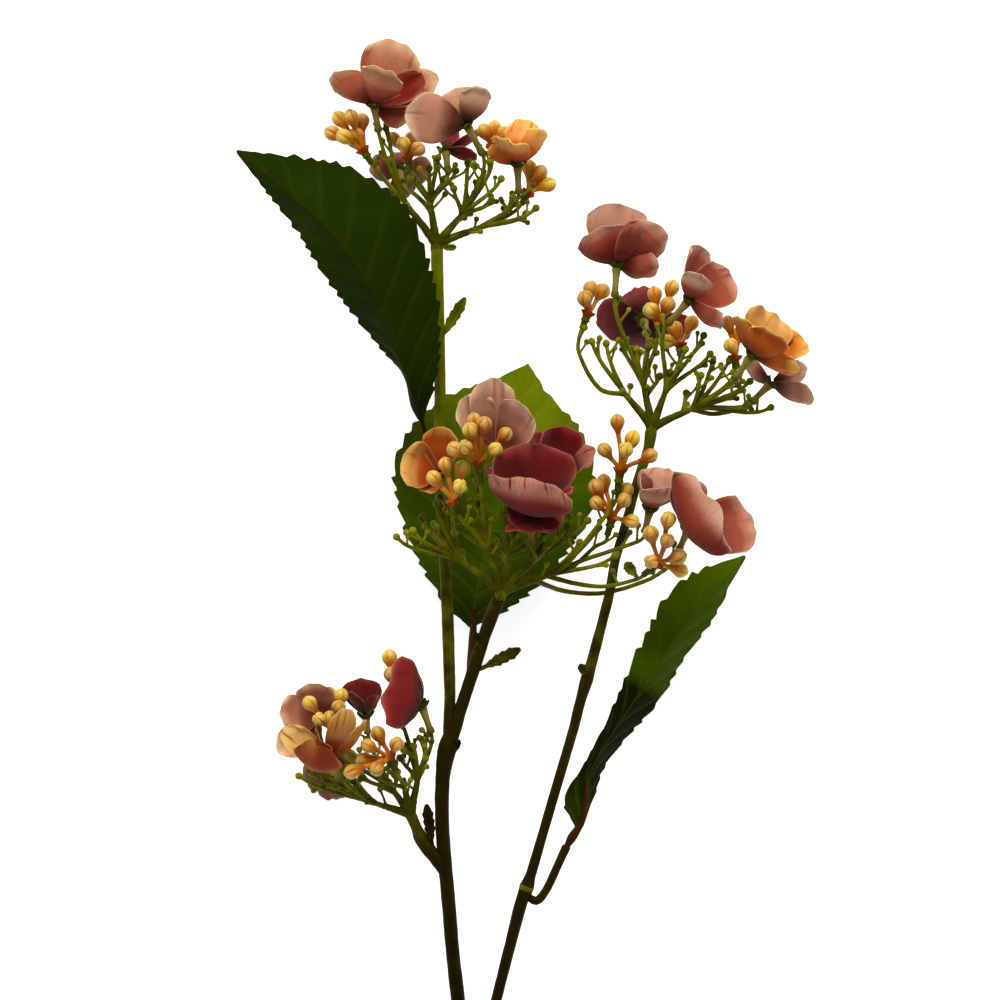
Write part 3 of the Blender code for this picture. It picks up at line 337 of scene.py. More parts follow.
class Sketch:
    # gathers the closed grids of one piece, with their marks, sheet coordinates and finishes

    def __init__(self):
        self.points = []
        self.marks = []
        self.faces = []
        self.corners = []
        self.finishes = []

    def face(self, indices, corners, finish):
        self.faces.append(indices)
        self.corners += corners
        self.finishes.append(finish)

    def place(self, point, mark):
        self.points.append(tuple(point))
        self.marks.append(mark)
        return len(self.points) - 1

    def blade(self, rows, thickness, mark, finish):
        # closed sheet round the grid of points; mark(side, row, column) gives its marks
        edgeShare = 0.45  # of the thickness is left at the cut edge
        height = len(rows)
        width = len(rows[0])
        sides = {1: [], 0: []}
        for r in range(height):
            for side in sides:
                sides[side].append([])
            for c in range(width):
                along = rows[min(r + 1, height - 1)][c] - rows[max(r - 1, 0)][c]
                across = rows[r][min(c + 1, width - 1)] - rows[r][max(c - 1, 0)]
                normal = across.cross(along)
                normal.normalize()
                edge = min(r, height - 1 - r, c, width - 1 - c)
                half = thickness / 2 * (edgeShare if edge == 0 else 1)
                sides[1][r].append(self.place(rows[r][c] + normal * half, mark(1, r, c)))
                sides[0][r].append(self.place(rows[r][c] - normal * half, mark(0, r, c)))
        for r in range(height - 1):
            for c in range(width - 1):
                for side, grid in sides.items():
                    self.quad(grid, r, c, height, width, finish, side == 0)
        self.rim(sides, height, width, finish)

    def quad(self, grid, r, c, height, width, finish, flip):
        ring = [(r, c), (r, c + 1), (r + 1, c + 1), (r + 1, c)]
        if flip:
            ring.reverse()
        self.face([grid[y][x] for y, x in ring],
                  [(x / (width - 1), y / (height - 1)) for y, x in ring], finish)

    def rim(self, sides, height, width, finish):
        # closes the sheet all round its cut edge
        ring = [(0, c) for c in range(width)]
        ring += [(r, width - 1) for r in range(1, height)]
        ring += [(height - 1, c) for c in range(width - 2, -1, -1)]
        ring += [(r, 0) for r in range(height - 2, 0, -1)]
        for (r0, c0), (r1, c1) in zip(ring, ring[1:] + ring[:1]):
            first = (c0 / (width - 1), r0 / (height - 1))
            second = (c1 / (width - 1), r1 / (height - 1))
            self.face([sides[1][r1][c1], sides[1][r0][c0], sides[0][r0][c0], sides[0][r1][c1]],
                      [second, first, first, second], finish)

    def tube(self, points, radii, sides, mark, finish, swell=None):
        # closed round tube; swell(angle, step) scales the radius, mark(angle, step) gives marks
        across = (points[1] - points[0]).orthogonal()
        rings = []
        last = len(points) - 1
        for step, (point, radius) in enumerate(zip(points, radii)):
            heading = points[min(step + 1, last)] - points[max(step - 1, 0)]
            heading.normalize()
            across = (across - across.dot(heading) * heading).normalized()
            beside = heading.cross(across)
            ring = []
            for side in range(sides):
                angle = side * math.tau / sides
                reach = radius * (swell(angle, step) if swell else 1)
                way = across * math.cos(angle) + beside * math.sin(angle)
                ring.append(self.place(point + way * reach, mark(angle, step)))
            rings.append(ring)
        for step in range(last):
            for side in range(sides):
                ring = [(step, side), (step, side + 1), (step + 1, side + 1), (step + 1, side)]
                self.face([rings[y][x % sides] for y, x in ring],
                          [(x / sides, y / last) for y, x in ring], finish)
        for step, ring in ((0, rings[0]), (last, rings[-1])):
            middle = self.place(points[step], mark(0, step))
            for side in range(sides):
                after = (side + 1) % sides
                indices = [ring[after], ring[side], middle]
                if step == last:
                    indices = [ring[side], ring[after], middle]
                self.face(indices, [(side / sides, step / last)] * 3, finish)

    def piece(self, name, nodes, slot, finishes, sharp=60):
        # edges that turn by more than the sharp angle in degrees stay sharp
        mesh = bpy.data.meshes.new(name)
        mesh.from_pydata(self.points, [], self.faces)
        layer = mesh.uv_layers.new(name="sheet")
        layer.data.foreach_set("uv", [value for corner in self.corners for value in corner])
        marks = mesh.attributes.new("mark", "FLOAT_VECTOR", "POINT")
        marks.data.foreach_set("vector", [value for mark in self.marks for value in mark])
        for finish in finishes:
            mesh.materials.append(materials[finish])
        mesh.polygons.foreach_set("material_index", self.finishes)
        bm = bmesh.new()
        bm.from_mesh(mesh)
        bmesh.ops.recalc_face_normals(bm, faces=bm.faces)
        bm.to_mesh(mesh)
        bm.free()
        mesh.shade_smooth()
        mesh.set_sharp_from_angle(angle=math.radians(sharp))
        piece = bpy.data.objects.new(name, mesh)
        bpy.context.scene.collection.objects.link(piece)
        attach(piece, "root")
        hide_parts(*nodes)


# Florets: colour, the point where the petals meet, the way the floret faces, the foot of its tube,
# and for each petal its tip, width in millimetres, cup angle, twist, and what is unusual in its form;
# a floret's or petal's brightness level is partly the dye's depth and partly painted light and shade,
# and its sheen amount paints a highlight, or shade where it is below zero
blooms = {
    "bloom_top_1": {
        "colour": "salmon", "centre": (375, 105, 52), "facing": (0.3, 0.85, 0.3),
        "foot": (379, 129, 48),
        "petals": [((334, 75, 56), 20, 0.9, 1.0, {"blunt": 0.72, "round": 0.3, "dim": 1.16}),
                   ((388, 68, 68), 20, 0.9, 0, {"blunt": 0.85, "roll": 0.16, "paintedShine": 0.3, "dim": 1.3}),
                   ((402, 43, 46), 27, 0.8, 0, {"blunt": 0.8, "paintedShine": 0.3}),
                   ((438, 74, 50), 19, 0.7, 0.5, {"roll": 0.1}),
                   # the two small petals at the lower right are painted dark: painted shade in the floret's
                   # interior
                   ((424, 78, 57), 13, 0.6, 1.2, {"blunt": 0.85, "paintedShine": -1.8, "shineFrom": 0.0}),
                   ((411, 117, 50), 14, 0.6, 1.2, {"blunt": 0.75, "dim": 0.75})],
    },
    "bloom_top_2": {
        "colour": "mauve", "centre": (467, 126, 62), "facing": (-0.4, 0.8, -0.35),
        "foot": (482, 153, 55),
        "petals": [((407, 118, 71), 21, 0.5, 0.9, {"blunt": 0.8, "round": 0.24, "bulge": 0.08}),
                   ((482, 88, 67), 15, 1.0, -0.5, {"blunt": 0.8, "roll": 0.15, "paintedShine": 0.7}),
                   ((449, 94, 62), 20, 0.7, 0, {"blunt": 0.9})],
    },
    "bloom_top_3": {
        "colour": "crimson", "centre": (446, 148, 34), "facing": (0.2, 0.85, -0.4),
        "foot": (448, 167, 37), "dim": 1.25,
        "petals": [((478, 156, 34), 13, 0.7, 0), ((482, 128, 28), 13, 0.7, 0),
                   ((446, 116, 24), 15, 0.7, 0)],
    },
    "bloom_top_4": {
        "colour": "orange", "centre": (518, 164, 46), "facing": (0.1, 0.9, 0.2),
        "foot": (519, 191, 45), "dim": 1.4,
        "petals": [((490, 147, 50), 14, 0.9, 0.9),
                   ((545, 130, 48), 17, 0.9, -0.7, {"blunt": 0.85, "paintedShine": 0.3}),
                   ((526, 117, 38), 15, 0.8, 0, {"blunt": 0.8, "paintedShine": 0.5}),
                   ((507, 136, 60), 18, 0.9, 0, {"blunt": 0.88, "roll": 0.12, "paintedShine": 0.5})],
    },
    "bloom_top_5": {
        "colour": "salmon", "centre": (398, 168, 14), "facing": (-0.1, 0.25, -0.95),
        "foot": (403, 180, 25), "dim": 0.5,
        "petals": [((369, 160, 0.7), 12, 0.7, 0), ((430, 165, 0.7), 13, 0.7, 0),
                   ((392, 149, 1.2), 11, 0.7, 0), ((404, 193, 1.2), 12, 0.7, 0)],
    },
    "bloom_right_1": {
        "colour": "pink", "centre": (617, 264, 47), "facing": (0.1, 0.95, 0.15),
        "foot": (615, 294, 47),
        "petals": [((594, 230, 54), 24, 0.8, 1.0,
                    {"blunt": 0.85, "round": 0.3, "skew": 0.05, "paintedShine": 0.1, "shadow": 1.2,
                     "shadowTo": 0.9, "dim": 0.92}),
                   ((662, 227, 52), 24, 0.8, -1.0,
                    {"blunt": 0.85, "round": 0.3, "skew": 0.05, "paintedShine": 0.2, "shadow": 1.0,
                     "shadowTo": 0.85, "dim": 0.92}),
                   ((616, 202, 40), 27, 0.7, 0, {"blunt": 0.85, "paintedShine": 0.7, "dim": 0.95}),
                   # a small petal painted dark: a dark sheet standing for the shaded gap between the front
                   # petals
                   ((634, 226, 60), 11, 0.5, 0,
                    {"blunt": 0.9, "paintedShine": -1.4, "shineFrom": 0.0, "dim": 1.15}),
                   ((659, 266, 45), 16, 0.8, -1.0, {"blunt": 0.85, "bulge": 0.2})],
    },
    "bloom_right_2": {
        "colour": "crimson", "centre": (645, 318, 16), "facing": (0, 0.2, -0.95),
        "foot": (648, 331, 27), "dim": 0.7,
        "petals": [((599, 316, 0.7), 20, 0.7, 0), ((640, 284, 1.2), 18, 0.7, 0),
                   ((694, 330, 0.7), 15, 0.7, 0), ((646, 346, 1.2), 16, 0.7, 0)],
    },
    "bloom_right_3": {
        "colour": "pink", "centre": (688, 301, 62), "facing": (0.8, 0.45, 0.35),
        "foot": (669, 322, 58),
        "petals": [((702, 247, 58), 22, 0.8, 0, {"blunt": 0.85}),
                   ((732, 276, 54), 21, 0.8, 0, {"blunt": 0.85}),
                   ((722, 327, 62), 16, 0.8, -0.8, {"blunt": 0.8, "dim": 1.2}),
                   ((699, 273, 74), 14, 0.8, 1.1, {"roll": 0.12, "blunt": 0.85, "paintedShine": 0.9})],
    },
    "bloom_right_4": {
        "colour": "orange", "centre": (751, 355, 62), "facing": (0.55, 0.7, 0.35),
        "foot": (735, 377, 57), "dim": 1.06,
        "petals": [((738, 315, 66), 16, 0.8, 0.8, {"roll": 0.1, "blunt": 0.8}),
                   ((774, 312, 54), 23, 0.8, 0, {"blunt": 0.85, "paintedShine": 0.6, "ruffle": 0.06}),
                   ((806, 342, 58), 22, 0.8, 0, {"blunt": 0.85}),
                   ((798, 368, 66), 15, 0.7, -0.8, {"blunt": 0.8}),
                   ((776, 329, 77), 20, 0.9, 0, {"roll": 0.2, "bulge": 0.2, "blunt": 0.85})],
    },
    "bloom_right_5": {
        "colour": "mauve", "centre": (772, 382, 36), "facing": (0.6, 0.5, -0.4),
        "foot": (753, 400, 38),
        "petals": [((815, 398, 40), 15, 0.7, 0, {"blunt": 0.8}), ((808, 367, 32), 15, 0.7, 0),
                   ((744, 358, 28), 15, 0.7, 0)],
    },
    "bloom_middle_1": {
        "colour": "mauve", "centre": (498, 448, 54), "facing": (0.05, 0.5, 0.85),
        "foot": (500, 470, 47), "dim": 1.12,
        "petals": [((466, 396, 60), 19, 0.6, 0, {"blunt": 0.85, "paintedShine": 0.4}),
                   ((490, 379, 60), 20, 0.7, 0, {"blunt": 0.85, "paintedShine": 0.3}),
                   ((525, 407, 66), 21, 0.6, 0, {"blunt": 0.85})],
    },
    "bloom_middle_2": {
        "colour": "crimson", "centre": (533, 512, 70), "facing": (0.16, 0.94, 0.33),
        "foot": (531, 541, 65),
        "petals": [((526, 443, 70), 47, 0.8, 0, {"blunt": 0.7, "skew": 0.05}),
                   ((530, 476, 90), 40, 0.75, 0,
                    {"bulge": 0.3, "blunt": 0.9, "round": 0.3, "paintedShine": 0.85, "shineFrom": 0.56,
                     "creases": 6, "creaseWidth": 0.018, "columns": 104, "skew": 0.05}),
                   # the three lower petals are painted darker: painted shade under the lip
                   ((537, 532, 74), 25, 0.7, 3.14, {"blunt": 0.8, "bulge": 0.2, "start": 0, "dim": 0.75}),
                   ((508, 515, 75), 13, 0.7, 2.6, {"blunt": 0.8, "start": 0, "dim": 0.75}),
                   ((562, 521, 75), 13, 0.7, -2.6, {"blunt": 0.8, "start": 0, "dim": 0.75}),
                   ((490, 464, 62), 22, 0.8, 0.3, {"blunt": 0.8}),
                   ((573, 485, 67), 19, 0.8, -0.4, {"blunt": 0.8})],
    },
    "bloom_middle_3": {
        "colour": "crimson", "centre": (557, 476, 48), "facing": (0.25, 0.8, 0.45),
        "foot": (553, 498, 50),
        "petals": [((529, 433, 49), 20, 0.7, 0, {"blunt": 0.85}),
                   ((559, 426, 52), 23, 0.7, 0, {"blunt": 0.85}),
                   ((592, 446, 53), 20, 0.7, 0, {"blunt": 0.85, "roll": 0.1, "paintedShine": 0.5})],
    },
    "bloom_middle_4": {
        "colour": "orange", "centre": (441, 472, 60), "facing": (-0.3, 0.35, 0.85),
        "foot": (449, 494, 54), "dim": 0.9,
        "petals": [((443, 427, 64), 18, 0.8, 0, {"blunt": 0.85}),
                   ((404, 462, 64), 21, 0.8, 0, {"blunt": 0.85, "roll": 0.1, "paintedShine": 0.4}),
                   ((420, 488, 62), 14, 0.8, 0)],
    },
    "bloom_middle_5": {
        "colour": "pink", "centre": (687, 528, 66), "facing": (0.6, 0.5, 0.55),
        "foot": (679, 547, 58),
        "petals": [((710, 499, 86), 43, 0.75, 0.1,
                    {"bulge": 0.36, "blunt": 0.9, "round": 0.32, "paintedShine": 0.4, "shineFrom": 0.6,
                     "shadow": 1.3, "shadowTo": 0.95, "dim": 0.86,
                     "creases": 5, "creaseWidth": 0.018, "columns": 104, "skew": 0.04}),
                   ((754, 523, 62), 31, 0.8, 0,
                    {"blunt": 0.88, "bulge": 0.2, "skew": 0.05, "shadow": 0.7, "shadowTo": 0.8,
                     "dim": 0.94}),
                   ((684, 472, 62), 22, 0.8, 0, {"blunt": 0.8, "dim": 0.9})],
    },
    "bloom_middle_6": {
        "colour": "pink", "centre": (650, 508, 52), "facing": (0.1, 0.8, 0.3),
        "foot": (645, 529, 50), "dim": 1.1,
        "petals": [((642, 472, 56), 15, 0.8, 0, {"paintedShine": 0.5}),
                   ((668, 468, 46), 21, 0.8, 0, {"blunt": 0.85, "paintedShine": 0.8, "shineFrom": 0.2}),
                   ((664, 484, 64), 18, 0.8, 0,
                    {"blunt": 0.85, "roll": 0.1, "paintedShine": 0.6, "shineFrom": 0.2})],
    },
    "bloom_low_1": {
        "colour": "mauve", "centre": (322, 715, 36), "facing": (-0.35, 0.35, 0.87),
        "foot": (334, 733, 32), "dim": 1.02,
        "petals": [((314, 682, 42), 19, 0.7, 0, {"blunt": 0.85}),
                   ((281, 712, 44), 18, 0.7, 0, {"blunt": 0.8}), ((279, 752, 40), 16, 0.7, 0),
                   ((338, 690, 36), 13, 0.7, 0)],
    },
    "bloom_low_2": {
        "colour": "orange", "centre": (331, 758, 54), "facing": (0.1, 0.9, 0.4),
        "foot": (342, 775, 47),
        "petals": [((286, 728, 62), 14, 0.8, -0.8, {"roll": 0.1, "blunt": 0.8, "paintedShine": 1.0,
                                                    "shineFrom": 0.1}),
                   # these two petals are painted dark: painted shade in the bowl of the floret
                   ((318, 738, 75), 24, 0.9, 0, {"bulge": 0.36, "blunt": 0.85, "round": 0.3,
                                                  "skew": 0.05, "creases": 1, "paintedShine": -1.8,
                                                  "shineFrom": 0.0}),
                   ((318, 728, 61), 20, 0.8, 0, {"blunt": 0.85, "paintedShine": -1.5, "shineFrom": 0.0}),
                   ((349, 704, 68), 12, 0.7, -0.7, {"blunt": 0.8, "paintedShine": 0.4, "shineFrom": 0.2,
                                                     "creases": 4}),
                   ((367, 717, 60), 12, 0.7, -0.7, {"blunt": 0.75, "paintedShine": 0.4})],
    },
    "bloom_low_3": {
        "colour": "crimson", "centre": (366, 714, 36), "facing": (0, 0.9, 0.2),
        "foot": (368, 730, 35), "dim": 0.64,
        "petals": [((348, 688, 42), 15, 0.8, 0, {"blunt": 0.8}),
                   ((359, 678, 30), 18, 0.8, 0, {"blunt": 0.85}),
                   ((379, 695, 36), 12, 0.8, 0, {"blunt": 0.5})],
    },
    "bloom_low_4": {
        "colour": "crimson", "centre": (422, 703, 46), "facing": (-0.88, 0.3, 0.33),
        "foot": (431, 729, 43),
        "petals": [((388, 684, 61), 31, 0.6, 0,
                    {"blunt": 0.95, "round": 0.2, "bulge": 0.22, "skew": 0.03}),
                   ((413, 670, 44), 15, 0.7, 0, {"blunt": 0.8}),
                   ((399, 720, 44), 12, 0.7, 0, {"blunt": 0.8})],
    },
    "bloom_low_5": {
        "colour": "pink", "centre": (330, 770, 14), "facing": (0, 0, -1),
        "foot": (342, 780, 22), "dim": 0.55,
        "petals": [((304, 784, 0.7), 14, 0.7, 0), ((324, 744, 0.7), 13, 0.7, 0),
                   ((358, 760, 0.7), 12, 0.7, 0), ((334, 802, 0.7), 14, 0.7, 0)],
    },
}
# a petal's form and its painted highlight and shade, which a floret's petals may change one by one;
# thickness and creaseDepth are in millimetres, the rest are shares of its width or length
petal = {
    "columns": 40, "rows": 34, "thickness": 0.4,
    "start": 0.06, "footWidth": 0.15, "broadest": 0.6, "blunt": 0.62, "round": 0.22, "skew": 0.16,
    "bulge": 0.13, "roll": 0.03, "rollFrom": 0.72, "ruffle": 0.025, "waves": 1.4, "buckle": 0.1,
    "jag": 0.006, "jagWaves": 3, "fineJagWaves": 24,
    "creases": 2, "creaseDepth": 0.4, "creaseWidth": 0.045, "creaseSlant": 0.25, "creasePull": 0.015,
    "paintedShine": 0.0, "shineFrom": 0.4, "shineRun": 0.32, "shadow": 0.5, "shadowTo": 0.55, "shadowRun": 0.35,
}
# tube and calyx; the profile gives way up the tube, breadth and dark mark; the dark foot is the tube's
# green seat, the dark top is painted shade in the floret's heart
floretFoot = {
    "radius": 1.6, "sides": 14, "seatDepth": 1.2, "topGap": 0.2,
    "profile": [(0, 0.9, 1.0), (0.06, 1.08, 1.0), (0.14, 1.0, 0.9), (0.22, 0.82, 0.5), (0.45, 0.8, 0.1),
                (0.7, 0.95, 0), (0.84, 1.15, 0.2), (0.93, 1.1, 0.8), (1, 0.4, 1.0)],
    "sepals": 5, "sepalRows": 8, "sepalLength": 5.0, "sepalWidth": 4.6, "sepalThickness": 0.5,
    "sepalDrop": 2.2, "sepalSpread": 0.75, "sepalLean": 0.8, "sepalBow": 0.7, "sepalCup": 0.6,
    "sepalTip": 0.1,
}


def petalBreadth(along, blunt):
    # half width of a petal, in half widths of its broadest place; blunt is the share left at the tip
    broadest = petal["broadest"]
    if along < broadest:
        rise = math.sin(math.pi / 2 * along / broadest) ** 1.1
        return petal["footWidth"] + (1 - petal["footWidth"]) * rise
    return 1 - (1 - blunt) * ((along - broadest) / (1 - broadest)) ** 2


def petalRule(centre, tip, facing, width, cup, twist, form, chance):
    # gives a point of a petal, and its shade, from the way across (-1 to 1) and along (0 to 1)
    reach = tip - centre
    length = reach.length
    ahead = reach / length
    level = (facing - facing.dot(ahead) * ahead).normalized()
    inward = level * math.cos(twist) + ahead.cross(level) * math.sin(twist)
    side = ahead.cross(inward)
    form = {**petal, **form}
    waves = form["waves"] * chance.uniform(0.7, 1.4)
    phase = chance.uniform(0, math.tau)
    skew = chance.uniform(-1, 1) * form["skew"]
    seed = Vector((chance.uniform(0, 90), 0, 0))
    # where each crease crosses, where it begins and how deep it is
    creases = [(chance.uniform(-0.85, 0.85), chance.uniform(0.4, 0.8), chance.uniform(0.15, 1.0))
               for _ in range(form["creases"])]

    def ripple(across, along, level):
        return noise.noise(Vector((across, along, level)) + seed)

    def crease(across, along):
        # how deep a point lies in a pressed crease, 0 to 1
        deep = 0
        for at, begins, depth in creases:
            off = across - at - form["creaseSlant"] * (along - 0.8)
            off /= form["creaseWidth"] * (0.6 + 0.6 * depth)
            deep += depth * math.exp(-off ** 2) * smooth(begins, 0.92, along)
        return min(deep, 1)

    def place(across, along):
        deep = crease(across, along)
        along = form["start"] + (1 - form["start"]) * along
        rounded = along * (1 - form["round"] * along * abs(across) ** 2.5)
        jag = ripple(across * form["jagWaves"], along * form["jagWaves"], 0) * form["jag"] * 2.5
        fine = ripple(across * form["fineJagWaves"], along * form["fineJagWaves"], 3) * form["jag"]
        rounded *= 1 + (jag + fine) * along ** 3 - form["creasePull"] * deep * along ** 8
        half = width / 2 * petalBreadth(rounded, form["blunt"]) * (1 + jag + fine * 0.6)
        lift = half * (1 - math.cos(cup * across)) / cup
        lift -= form["bulge"] * length * 4 * rounded * (1 - rounded)
        lift -= form["roll"] * width * smooth(form["rollFrom"], 1.0, along) ** 2
        edge = max(abs(across) ** 3, along ** 6)
        wave = math.sin(waves * math.tau * (across * 0.8 + along * 0.5) + phase)
        lift += form["ruffle"] * width * edge * along * wave
        lift += form["buckle"] * width * along * ripple(across * 1.3, along * 1.8, 7)
        lift += form["creaseDepth"] * layout["mm"] * deep
        sideways = half * (math.sin(cup * across) / cup + skew * (rounded - 0.5))
        return centre + ahead * length * rounded + side * sideways + inward * lift

    def shade(across, along):
        # below zero where a painted sheen highlight lies, above zero where painted shade lies: in a crease,
        # or as a painted shadow toward the petal's base
        patch = 0.5 + 0.5 * ripple(across * 1.5, along * 1.5, 5)
        paintedShine = form["paintedShine"] * (0.6 + 0.5 * patch)
        paintedShine *= smooth(form["shineFrom"], form["shineFrom"] + form["shineRun"], along)
        paintedShine *= 1 - 0.5 * smooth(0.75, 1.0, abs(across))
        # painted shadow toward the petal's base
        shadow = form["shadow"] * (0.6 + 0.8 * patch)
        shadow *= 1 - smooth(form["shadowTo"] - form["shadowRun"], form["shadowTo"], along)
        deep = crease(across, along)
        return deep * 0.9 + shadow - paintedShine * (1 - deep)
    return place, shade


def addPetal(sketch, centre, facing, spec, dim, chance):
    tip, width, cup, twist, *rest = spec
    form = rest[0] if rest else {}
    place, shade = petalRule(centre, spot(*tip), facing, width * layout["mm"], cup, twist, form, chance)
    columns = form.get("columns", petal["columns"])
    rows = petal["rows"]
    ways = [c / columns * 2 - 1 for c in range(columns + 1)]
    grid = [[place(way, r / rows) for way in ways] for r in range(rows + 1)]
    shades = [[shade(way, r / rows) for way in ways] for r in range(rows + 1)]
    # random tone per petal, shifted by the floret's and petal's level of dye and painted light and shade
    tone = chance.random() - (1 - dim * form.get("dim", 1)) / toneShift["share"]
    sketch.blade(grid, petal["thickness"] * layout["mm"],
                 lambda side, r, c: (tone, side, shades[r][c]), 0)


def addFloretFoot(sketch, centre, foot, chance):
    # tube, cup and small sepals under the petals
    down = (foot - centre).normalized()
    seat = foot + down * floretFoot["seatDepth"] * layout["mm"]
    top = centre + down * floretFoot["topGap"] * layout["mm"]
    points = [seat + (top - seat) * way for way, _, _ in floretFoot["profile"]]
    radii = [floretFoot["radius"] * layout["mm"] * size for _, size, _ in floretFoot["profile"]]
    sketch.tube(points, radii, floretFoot["sides"],
                lambda angle, step: (0.5, 0.45, floretFoot["profile"][step][2]), 2)
    aside = down.orthogonal().normalized()
    beside = down.cross(aside)
    turn = chance.uniform(0, math.tau)
    base = centre + down * floretFoot["sepalDrop"] * layout["mm"]
    for index in range(floretFoot["sepals"]):
        angle = turn + index * math.tau / floretFoot["sepals"]
        out = aside * math.cos(angle) + beside * math.sin(angle)
        way = out * floretFoot["sepalSpread"] - down * floretFoot["sepalLean"]
        addSepal(sketch, base, way.normalized(), down)


def addSepal(sketch, base, way, down):
    side = way.cross(down).normalized()
    normal = side.cross(way)
    size, half, thickness, tip, rise, cup = [
        floretFoot[key] * layout["mm"]
        for key in ("sepalLength", "sepalWidth", "sepalThickness", "sepalTip", "sepalBow", "sepalCup")]
    half /= 2
    rows = []
    for r in range(floretFoot["sepalRows"] + 1):
        along = r / floretFoot["sepalRows"]
        breadth = half * (0.5 + 0.8 * along) * (1 - along ** 2) + tip
        row = []
        for across in (-1, -0.5, 0, 0.5, 1):
            bow = math.sin(along * 2.2) * rise - across ** 2 * cup
            row.append(base + way * size * along + side * breadth * across + normal * bow)
        rows.append(row)
    sketch.blade(rows, thickness, lambda s, r, c: (0.5, 0.3, 0), 1)


def makeBloom(name, spec, chance):
    sketch = Sketch()
    centre = spot(*spec["centre"])
    foot = spot(*spec["foot"])
    facing = Vector(spec["facing"]).normalized()
    for petalSpec in spec["petals"]:
        addPetal(sketch, centre, facing, petalSpec, spec.get("dim", 1), chance)
    addFloretFoot(sketch, centre, foot, chance)
    sketch.piece(name + "_cloth", [name], "petals_" + spec["colour"],
                 [spec["colour"], "calyx", "tube"])


chance = random.Random(11)
for name, spec in blooms.items():
    makeBloom(name, spec, chance)
print("blooms made:", len(blooms))


# Bunches of orange buds: the foot on a ray, the node where the bud stalks meet, and the buds
bunches = {
    "buds_top_1": ((371, 161, 44), (364, 150, 44), [
        (340, 118, 42), (352, 117, 48), (363, 120, 42), (333, 133, 46), (345, 137, 50),
        (357, 134, 44)]),
    "buds_top_2": ((411, 166, 40), (408, 157, 40), [
        (394, 138, 40), (404, 143, 44), (413, 138, 38), (418, 149, 42)]),
    "buds_top_3": ((493, 155, 38), (493, 146, 37), [
        (485, 130, 38), (495, 126, 35), (504, 132, 37)]),
    "buds_top_4": ((523, 201, 36), (528, 192, 35), [
        (530, 166, 34), (541, 171, 36), (549, 183, 35), (537, 181, 30)]),
    "buds_right_1": ((583, 326, 47), (588, 313, 47), [
        (591, 288, 46), (603, 290, 40), (585, 298, 52)]),
    "buds_right_2": ((659, 332, 45), (660, 322, 45), [
        (655, 293, 44), (672, 287, 46), (651, 310, 48), (668, 304, 48)]),
    "buds_right_3": ((680, 353, 46), (680, 344, 46), [
        (675, 328, 44), (666, 341, 49), (692, 322, 44)]),
    "buds_right_4": ((735, 366, 46), (735, 357, 46), [
        (728, 322, 45), (739, 333, 44), (730, 345, 50)]),
    "buds_middle_1": ((481, 480, 70), (479, 462, 72), [
        (456, 449, 80), (466, 447, 86), (471, 430, 82), (475, 420, 76), (485, 424, 80),
        (496, 449, 80), (506, 434, 76)]),
    "buds_middle_2": ((458, 510, 70), (454, 500, 72), [
        (435, 477, 76), (461, 485, 82), (447, 464, 75), (463, 468, 74)]),
    "buds_middle_3": ((617, 491, 56), (620, 470, 58), [
        (617, 421, 60), (604, 449, 62), (625, 449, 68), (632, 438, 60), (650, 455, 60)]),
    "buds_middle_4": ((608, 532, 50), (612, 517, 52), [
        (604, 480, 50), (596, 486, 54), (596, 502, 58), (626, 489, 53), (624, 499, 60),
        (632, 520, 57)]),
    "buds_middle_5": ((645, 572, 54), (657, 562, 57), [
        (667, 518, 71), (650, 532, 64), (666, 539, 68), (650, 560, 67), (678, 555, 62),
        (680, 569, 57)]),
    "buds_low_1": ((338, 744, 42), (335, 732, 45), [
        (311, 701, 52), (321, 717, 56), (342, 694, 48), (340, 705, 54), (331, 716, 48)]),
    "buds_low_2": ((396, 766, 52), (391, 754, 54), [
        (379, 731, 54), (369, 743, 57), (398, 741, 60), (353, 769, 58), (365, 758, 52),
        (378, 766, 62)]),
    "buds_low_3": ((399, 708, 36), (395, 689, 37), [
        (390, 656, 38), (392, 673, 42)]),
}
# lengths in millimetres; the profile gives way up the bud and breadth, the stations of the
# collar's stalk give way up and breadth in stalks
bud = {
    "radius": 3.1, "sides": 32, "lobes": 4, "groove": 0.2, "seamWidth": 0.3,
    "profile": [(0, 0.3), (0.12, 0.38), (0.24, 0.54), (0.36, 0.76), (0.48, 0.93), (0.6, 1.0), (0.72, 0.97),
                (0.83, 0.82), (0.92, 0.55), (0.975, 0.3), (1, 0.1)],
    "stalk": 0.9, "stalkSides": 10, "stalkBow": 0.06, "stalkSizes": (1.5, 1.2, 1.05, 1, 1, 1.02, 1.1),
    "collarSeat": 1.0, "collarSides": 14,
    "collarStations": [(0, 1.5), (0.2, 1.45), (0.49, 1.6), (0.53, 2.2), (0.59, 2.2), (0.63, 1.8),
                       (0.85, 2.0), (1, 2.3)],
    "ruffSides": 30, "ruffTeeth": 6, "ruffDepth": 0.22, "ruffFineTeeth": 11, "ruffFineDepth": 0.1,
    "ruffStations": [(-1.2, 2.0), (0, 2.7), (0.9, 3.1), (1.2, 1.2)],
}


